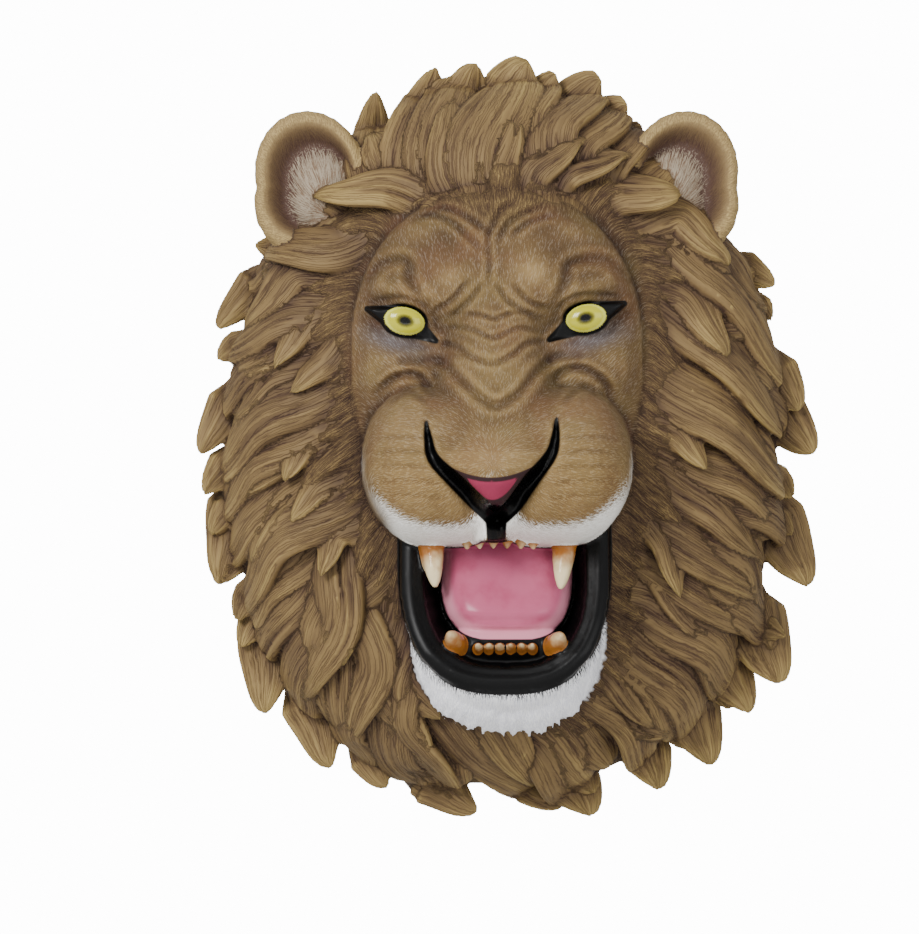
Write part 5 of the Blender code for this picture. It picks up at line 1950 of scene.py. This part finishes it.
    def make(self) -> bpy.types.Material:
        """Makes the material."""
        painter = Painter("painted_resin")
        lock = painter.math("MULTIPLY", painter.note("lock"), 91.0)
        across, along = painter.note("across"), painter.note("along")
        grain = painter.vector(across, painter.math("MULTIPLY", along, 0.035), lock)
        wide = painter.noise(grain, 0.42, 1.0)
        thin = painter.math("MULTIPLY", painter.lines(painter.noise(grain, 0.72, 1.0), 0.06), 0.55)
        strand = painter.math("ADD", thin, painter.band(wide, 0.25, 0.75, 0.0, 0.45))
        stroke = painter.strokes(0.0005)
        locks = painter.note("combed")
        short = painter.math("MULTIPLY", stroke, painter.math("SUBTRACT", 1.0, locks))
        hair = painter.math("ADD", painter.math("MULTIPLY", strand, locks), short)
        face = self.face_colour(painter, stroke)
        colour = painter.mix(painter.note("mane"), face, self.hair_colour(painter, hair))
        colour = painter.mix(painter.note("ear"), colour, self.ear_colour(painter, stroke))
        colour = painter.mix(painter.note("chin"), colour, self.chin_colour(painter, stroke))
        colour = self.wet_colour(painter, colour)
        colour = painter.mix(painter.note("back"), colour, self.back)
        painter.feed(painter.shader.inputs["Base Color"], colour)
        black = painter.band(painter.note("black"), -0.3, 0.3)
        soft = painter.math("MAXIMUM", painter.note("tongue"), painter.note("nose"))
        soft = painter.band(soft, -0.3, 0.3)
        tooth = painter.band(painter.note("tooth"), 0.0, 0.25)
        rough = painter.band(strand, 0.2, 0.8, 0.78, 0.62)
        for area, share in ((black, 0.38), (soft, 0.16), (tooth, 0.36)):
            rough = painter.math("SUBTRACT", rough, painter.math("MULTIPLY", area, share), True)
        painter.feed(painter.shader.inputs["Roughness"], rough)
        furry = painter.math("MULTIPLY", painter.note("mane"), locks)
        strokes, strands = painter.vector(stroke, stroke, stroke), painter.vector(strand, strand, strand)
        height = painter.mix(furry, strokes, strands)
        wet = painter.math("MAXIMUM", painter.math("MAXIMUM", black, soft), tooth)
        dry = painter.math("SUBTRACT", 1.0, wet, True)
        relief = painter.band(painter.note("mane"), 0.0, 1.0, self.face_bump, self.hair_bump)
        painter.bump(painter.math("MULTIPLY", height, dry), relief, 1.0)
        painter.shader.inputs["Specular IOR Level"].default_value = self.gloss
        return painter.material


@dataclass(frozen=True)
class EyeGlass:
    """Glossy painted eye: soft black pupil, yellow-green iris and a bright rim, a painted highlight for the
    light that a clear dome gathers at its edge, under clear gloss.
    """

    pupil: Colour = (0.0, 0.0, 0.0)
    inner: Colour = (0.42, 0.40, 0.06)
    iris: Colour = (0.73, 0.71, 0.14)
    # Painted highlight: the bright band round the iris's edge, where light gathers in a clear dome
    rim: Colour = (0.84, 0.84, 0.36)
    edge: Colour = (0.12, 0.11, 0.03)
    finish: tuple = (
        ("Roughness", 0.22), ("Coat Weight", 0.5), ("Specular IOR Level", 0.2), ("Coat Roughness", 0.03),
    )

    def make(self) -> bpy.types.Material:
        """Makes the material."""
        painter = Painter("eye_glass")
        ring, turn = painter.note("ring"), painter.note("turn")
        around, out = painter.math("MULTIPLY", turn, 9.0), painter.math("MULTIPLY", ring, 1.2)
        rays = painter.noise(painter.vector(around, out, 0.0), 1.6, 3.0)
        uneven = painter.math("MULTIPLY", painter.math("SUBTRACT", rays, 0.5), 0.16)
        place = painter.math("ADD", ring, uneven)
        # The rim stops paint a bright band near the edge as painted highlight
        stops = (
            (0.0, self.pupil), (0.21, self.pupil), (0.36, self.inner), (0.50, self.iris),
            (0.80, self.iris), (0.92, self.rim), (0.985, self.rim), (1.0, self.edge),
        )
        painter.feed(painter.shader.inputs["Base Color"], painter.ramp(place, stops))
        painter.bump(rays, 0.0001, 0.4)
        for name, value in self.finish:
            painter.shader.inputs[name].default_value = value
        return painter.material


@dataclass(frozen=True)
class Eye:
    """One domed oval eye."""

    node: str
    centre: tuple[float, float]
    side: float
    reach: tuple[float, float] = (11.0, 7.4)
    tilt: float = 12.0
    back: float = 106.0
    edge: float = 110.5
    dome: float = 4.6
    pupil: tuple[float, float] = (0.04, 0.02)
    points: int = 72
    rings: int = 22

    def build(self) -> bpy.types.Object:
        """Makes the eye's mesh, with the notes that its paint reads."""
        turns = np.linspace(0.0, 2.0 * math.pi, self.points, endpoint=False)
        profile = [(1.0, self.back), (1.0, self.edge - 0.4)]
        rises = np.linspace(0.0, 1.52, self.rings)
        profile += [(math.cos(t), self.edge + self.dome * math.sin(t)) for t in rises]
        lean = math.radians(self.side * self.tilt)
        rows, rings = [], []
        for share, depth in profile:
            across, up = self.reach[0] * share * np.cos(turns), self.reach[1] * share * np.sin(turns)
            x = self.centre[0] + across * math.cos(lean) - up * math.sin(lean)
            z = self.centre[1] + across * math.sin(lean) + up * math.cos(lean)
            rows.append(np.stack([x, np.full(self.points, -depth), z], axis=-1))
            beside = share * np.cos(turns) + self.side * self.pupil[0]
            away = np.hypot(beside, share * np.sin(turns) - self.pupil[1])
            rings.append(np.where(share > 0.97, 1.0, away))
        skins = Skins()
        skins.add_loft(np.array(rows), np.arange(len(rows)) * 1.0, turns, 0.0, Kind.RELIEF)
        piece = new_object(self.node + "_glass", skins.mesh(self.node + "_glass"))
        store(piece.data, "ring", np.array(rings).ravel())
        store(piece.data, "turn", np.abs(np.tile(turns, len(rows)) - math.pi))
        piece.data.shade_smooth()
        return piece


@dataclass(frozen=True)
class Studio:
    """Camera at the photograph's angle, soft lights, a pale floor and a white surround."""

    distance: float = 3.0
    camera_x: float = -0.0197
    camera_z: float = -0.0152
    lens: float = 213.3
    floor_z: float = -0.30
    floor_tones: tuple[Colour, Colour] = ((0.86, 0.86, 0.86), (0.90, 0.90, 0.89))
    target: tuple[float, float, float] = (0.0, -0.08, 0.0)
    # Name, place in metres, power in watts and side in metres
    lamps: tuple = (
        ("key", (-1.1, -1.8, 1.05), 52.0, 0.8),
        ("fill", (1.3, -1.8, 0.4), 15.0, 1.2),
        ("low", (0.0, -1.8, -0.7), 8.0, 1.0),
    )
    # Strength of the surround as it lights the mask, and as it is seen
    surround_light: float = 0.62
    surround_seen: float = 14.0

    def aim(self, thing: bpy.types.Object, target: tuple) -> None:
        """Turns a camera or lamp towards a place."""
        way = Vector(target) - thing.location
        thing.rotation_euler = way.to_track_quat("-Z", "Y").to_euler()

    def add_camera(self) -> None:
        """Adds the camera and makes it the scene's own."""
        camera = bpy.data.objects.new("camera", bpy.data.cameras.new("camera"))
        bpy.context.scene.collection.objects.link(camera)
        camera.data.lens = self.lens
        camera.location = (self.camera_x, -self.distance, self.camera_z)
        self.aim(camera, (self.camera_x, 0.0, self.camera_z))
        bpy.context.scene.camera = camera

    def add_light(self, name: str, place: tuple, power: float, size: float) -> None:
        """Adds a soft square lamp.

        Args:
            name: Its name.
            place: Where it hangs, in metres.
            power: Its power in watts.
            size: Its side in metres.
        """
        lamp = bpy.data.lights.new(name, "AREA")
        lamp.energy = power
        lamp.size = size
        holder = bpy.data.objects.new(name, lamp)
        bpy.context.scene.collection.objects.link(holder)
        holder.location = place
        self.aim(holder, self.target)

    def add_floor(self) -> None:
        """Adds the pale floor."""
        shape = bmesh.new()
        bmesh.ops.create_grid(shape, x_segments=1, y_segments=1, size=0.5)
        bmesh.ops.scale(shape, vec=(3.0, 2.0, 1.0), verts=shape.verts[:])
        bmesh.ops.translate(shape, vec=(0.0, -0.68, self.floor_z), verts=shape.verts[:])
        floor = shape_object("floor", shape)
        painter = Painter("pale_floor")
        cloud = painter.noise(painter.place(), 3.0, 2.0)
        painter.feed(painter.shader.inputs["Base Color"], painter.mix(cloud, *self.floor_tones))
        painter.shader.inputs["Roughness"].default_value = 0.8
        floor.data.materials.append(painter.material)

    def add_surround(self) -> None:
        """Adds a white surround that lights softly and is seen as plain white."""
        world = bpy.data.worlds.new("surround")
        world.use_nodes = True
        nodes, links = world.node_tree.nodes, world.node_tree.links
        glow = nodes["Background"]
        seen = nodes.new("ShaderNodeBackground")
        blend = nodes.new("ShaderNodeMixShader")
        path = nodes.new("ShaderNodeLightPath")
        for node, strength in ((glow, self.surround_light), (seen, self.surround_seen)):
            node.inputs["Color"].default_value = (1.0, 1.0, 1.0, 1.0)
            node.inputs["Strength"].default_value = strength
        links.new(path.outputs["Is Camera Ray"], blend.inputs[0])
        links.new(glow.outputs[0], blend.inputs[1])
        links.new(seen.outputs[0], blend.inputs[2])
        links.new(blend.outputs[0], nodes["World Output"].inputs["Surface"])
        bpy.context.scene.world = world

    def build(self) -> None:
        """Builds the whole studio."""
        self.add_camera()
        for lamp in self.lamps:
            self.add_light(*lamp)
        self.add_floor()
        self.add_surround()


def report(piece: bpy.types.Object) -> None:
    """Reports a finished piece and its triangles."""
    LOG.info("%s: %d triangles", piece.name, sum(len(face.vertices) - 2 for face in piece.data.polygons))


def main() -> None:
    """Builds the casting, the eyes and the studio."""
    casting = Casting()
    head = casting.sculpt()
    casting.fuse(head)
    surface = Surface.of(head.data)
    casting.note_paint(head.data, surface, casting.note_grain(head.data, surface))
    head.data.materials.clear()
    head.data.materials.append(ResinPaint().make())
    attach(head, ROOT_BODY)
    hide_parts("head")
    report(head)
    glass = EyeGlass().make()
    for node, centre, side in zip(("left_eye", "right_eye"), casting.face.eyes, (-1.0, 1.0)):
        eye = Eye(node, centre, side).build()
        eye.data.materials.append(glass)
        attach(eye, ROOT_BODY)
        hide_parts(node)
        report(eye)
    Studio().build()


if __name__ == "__main__":
    main()
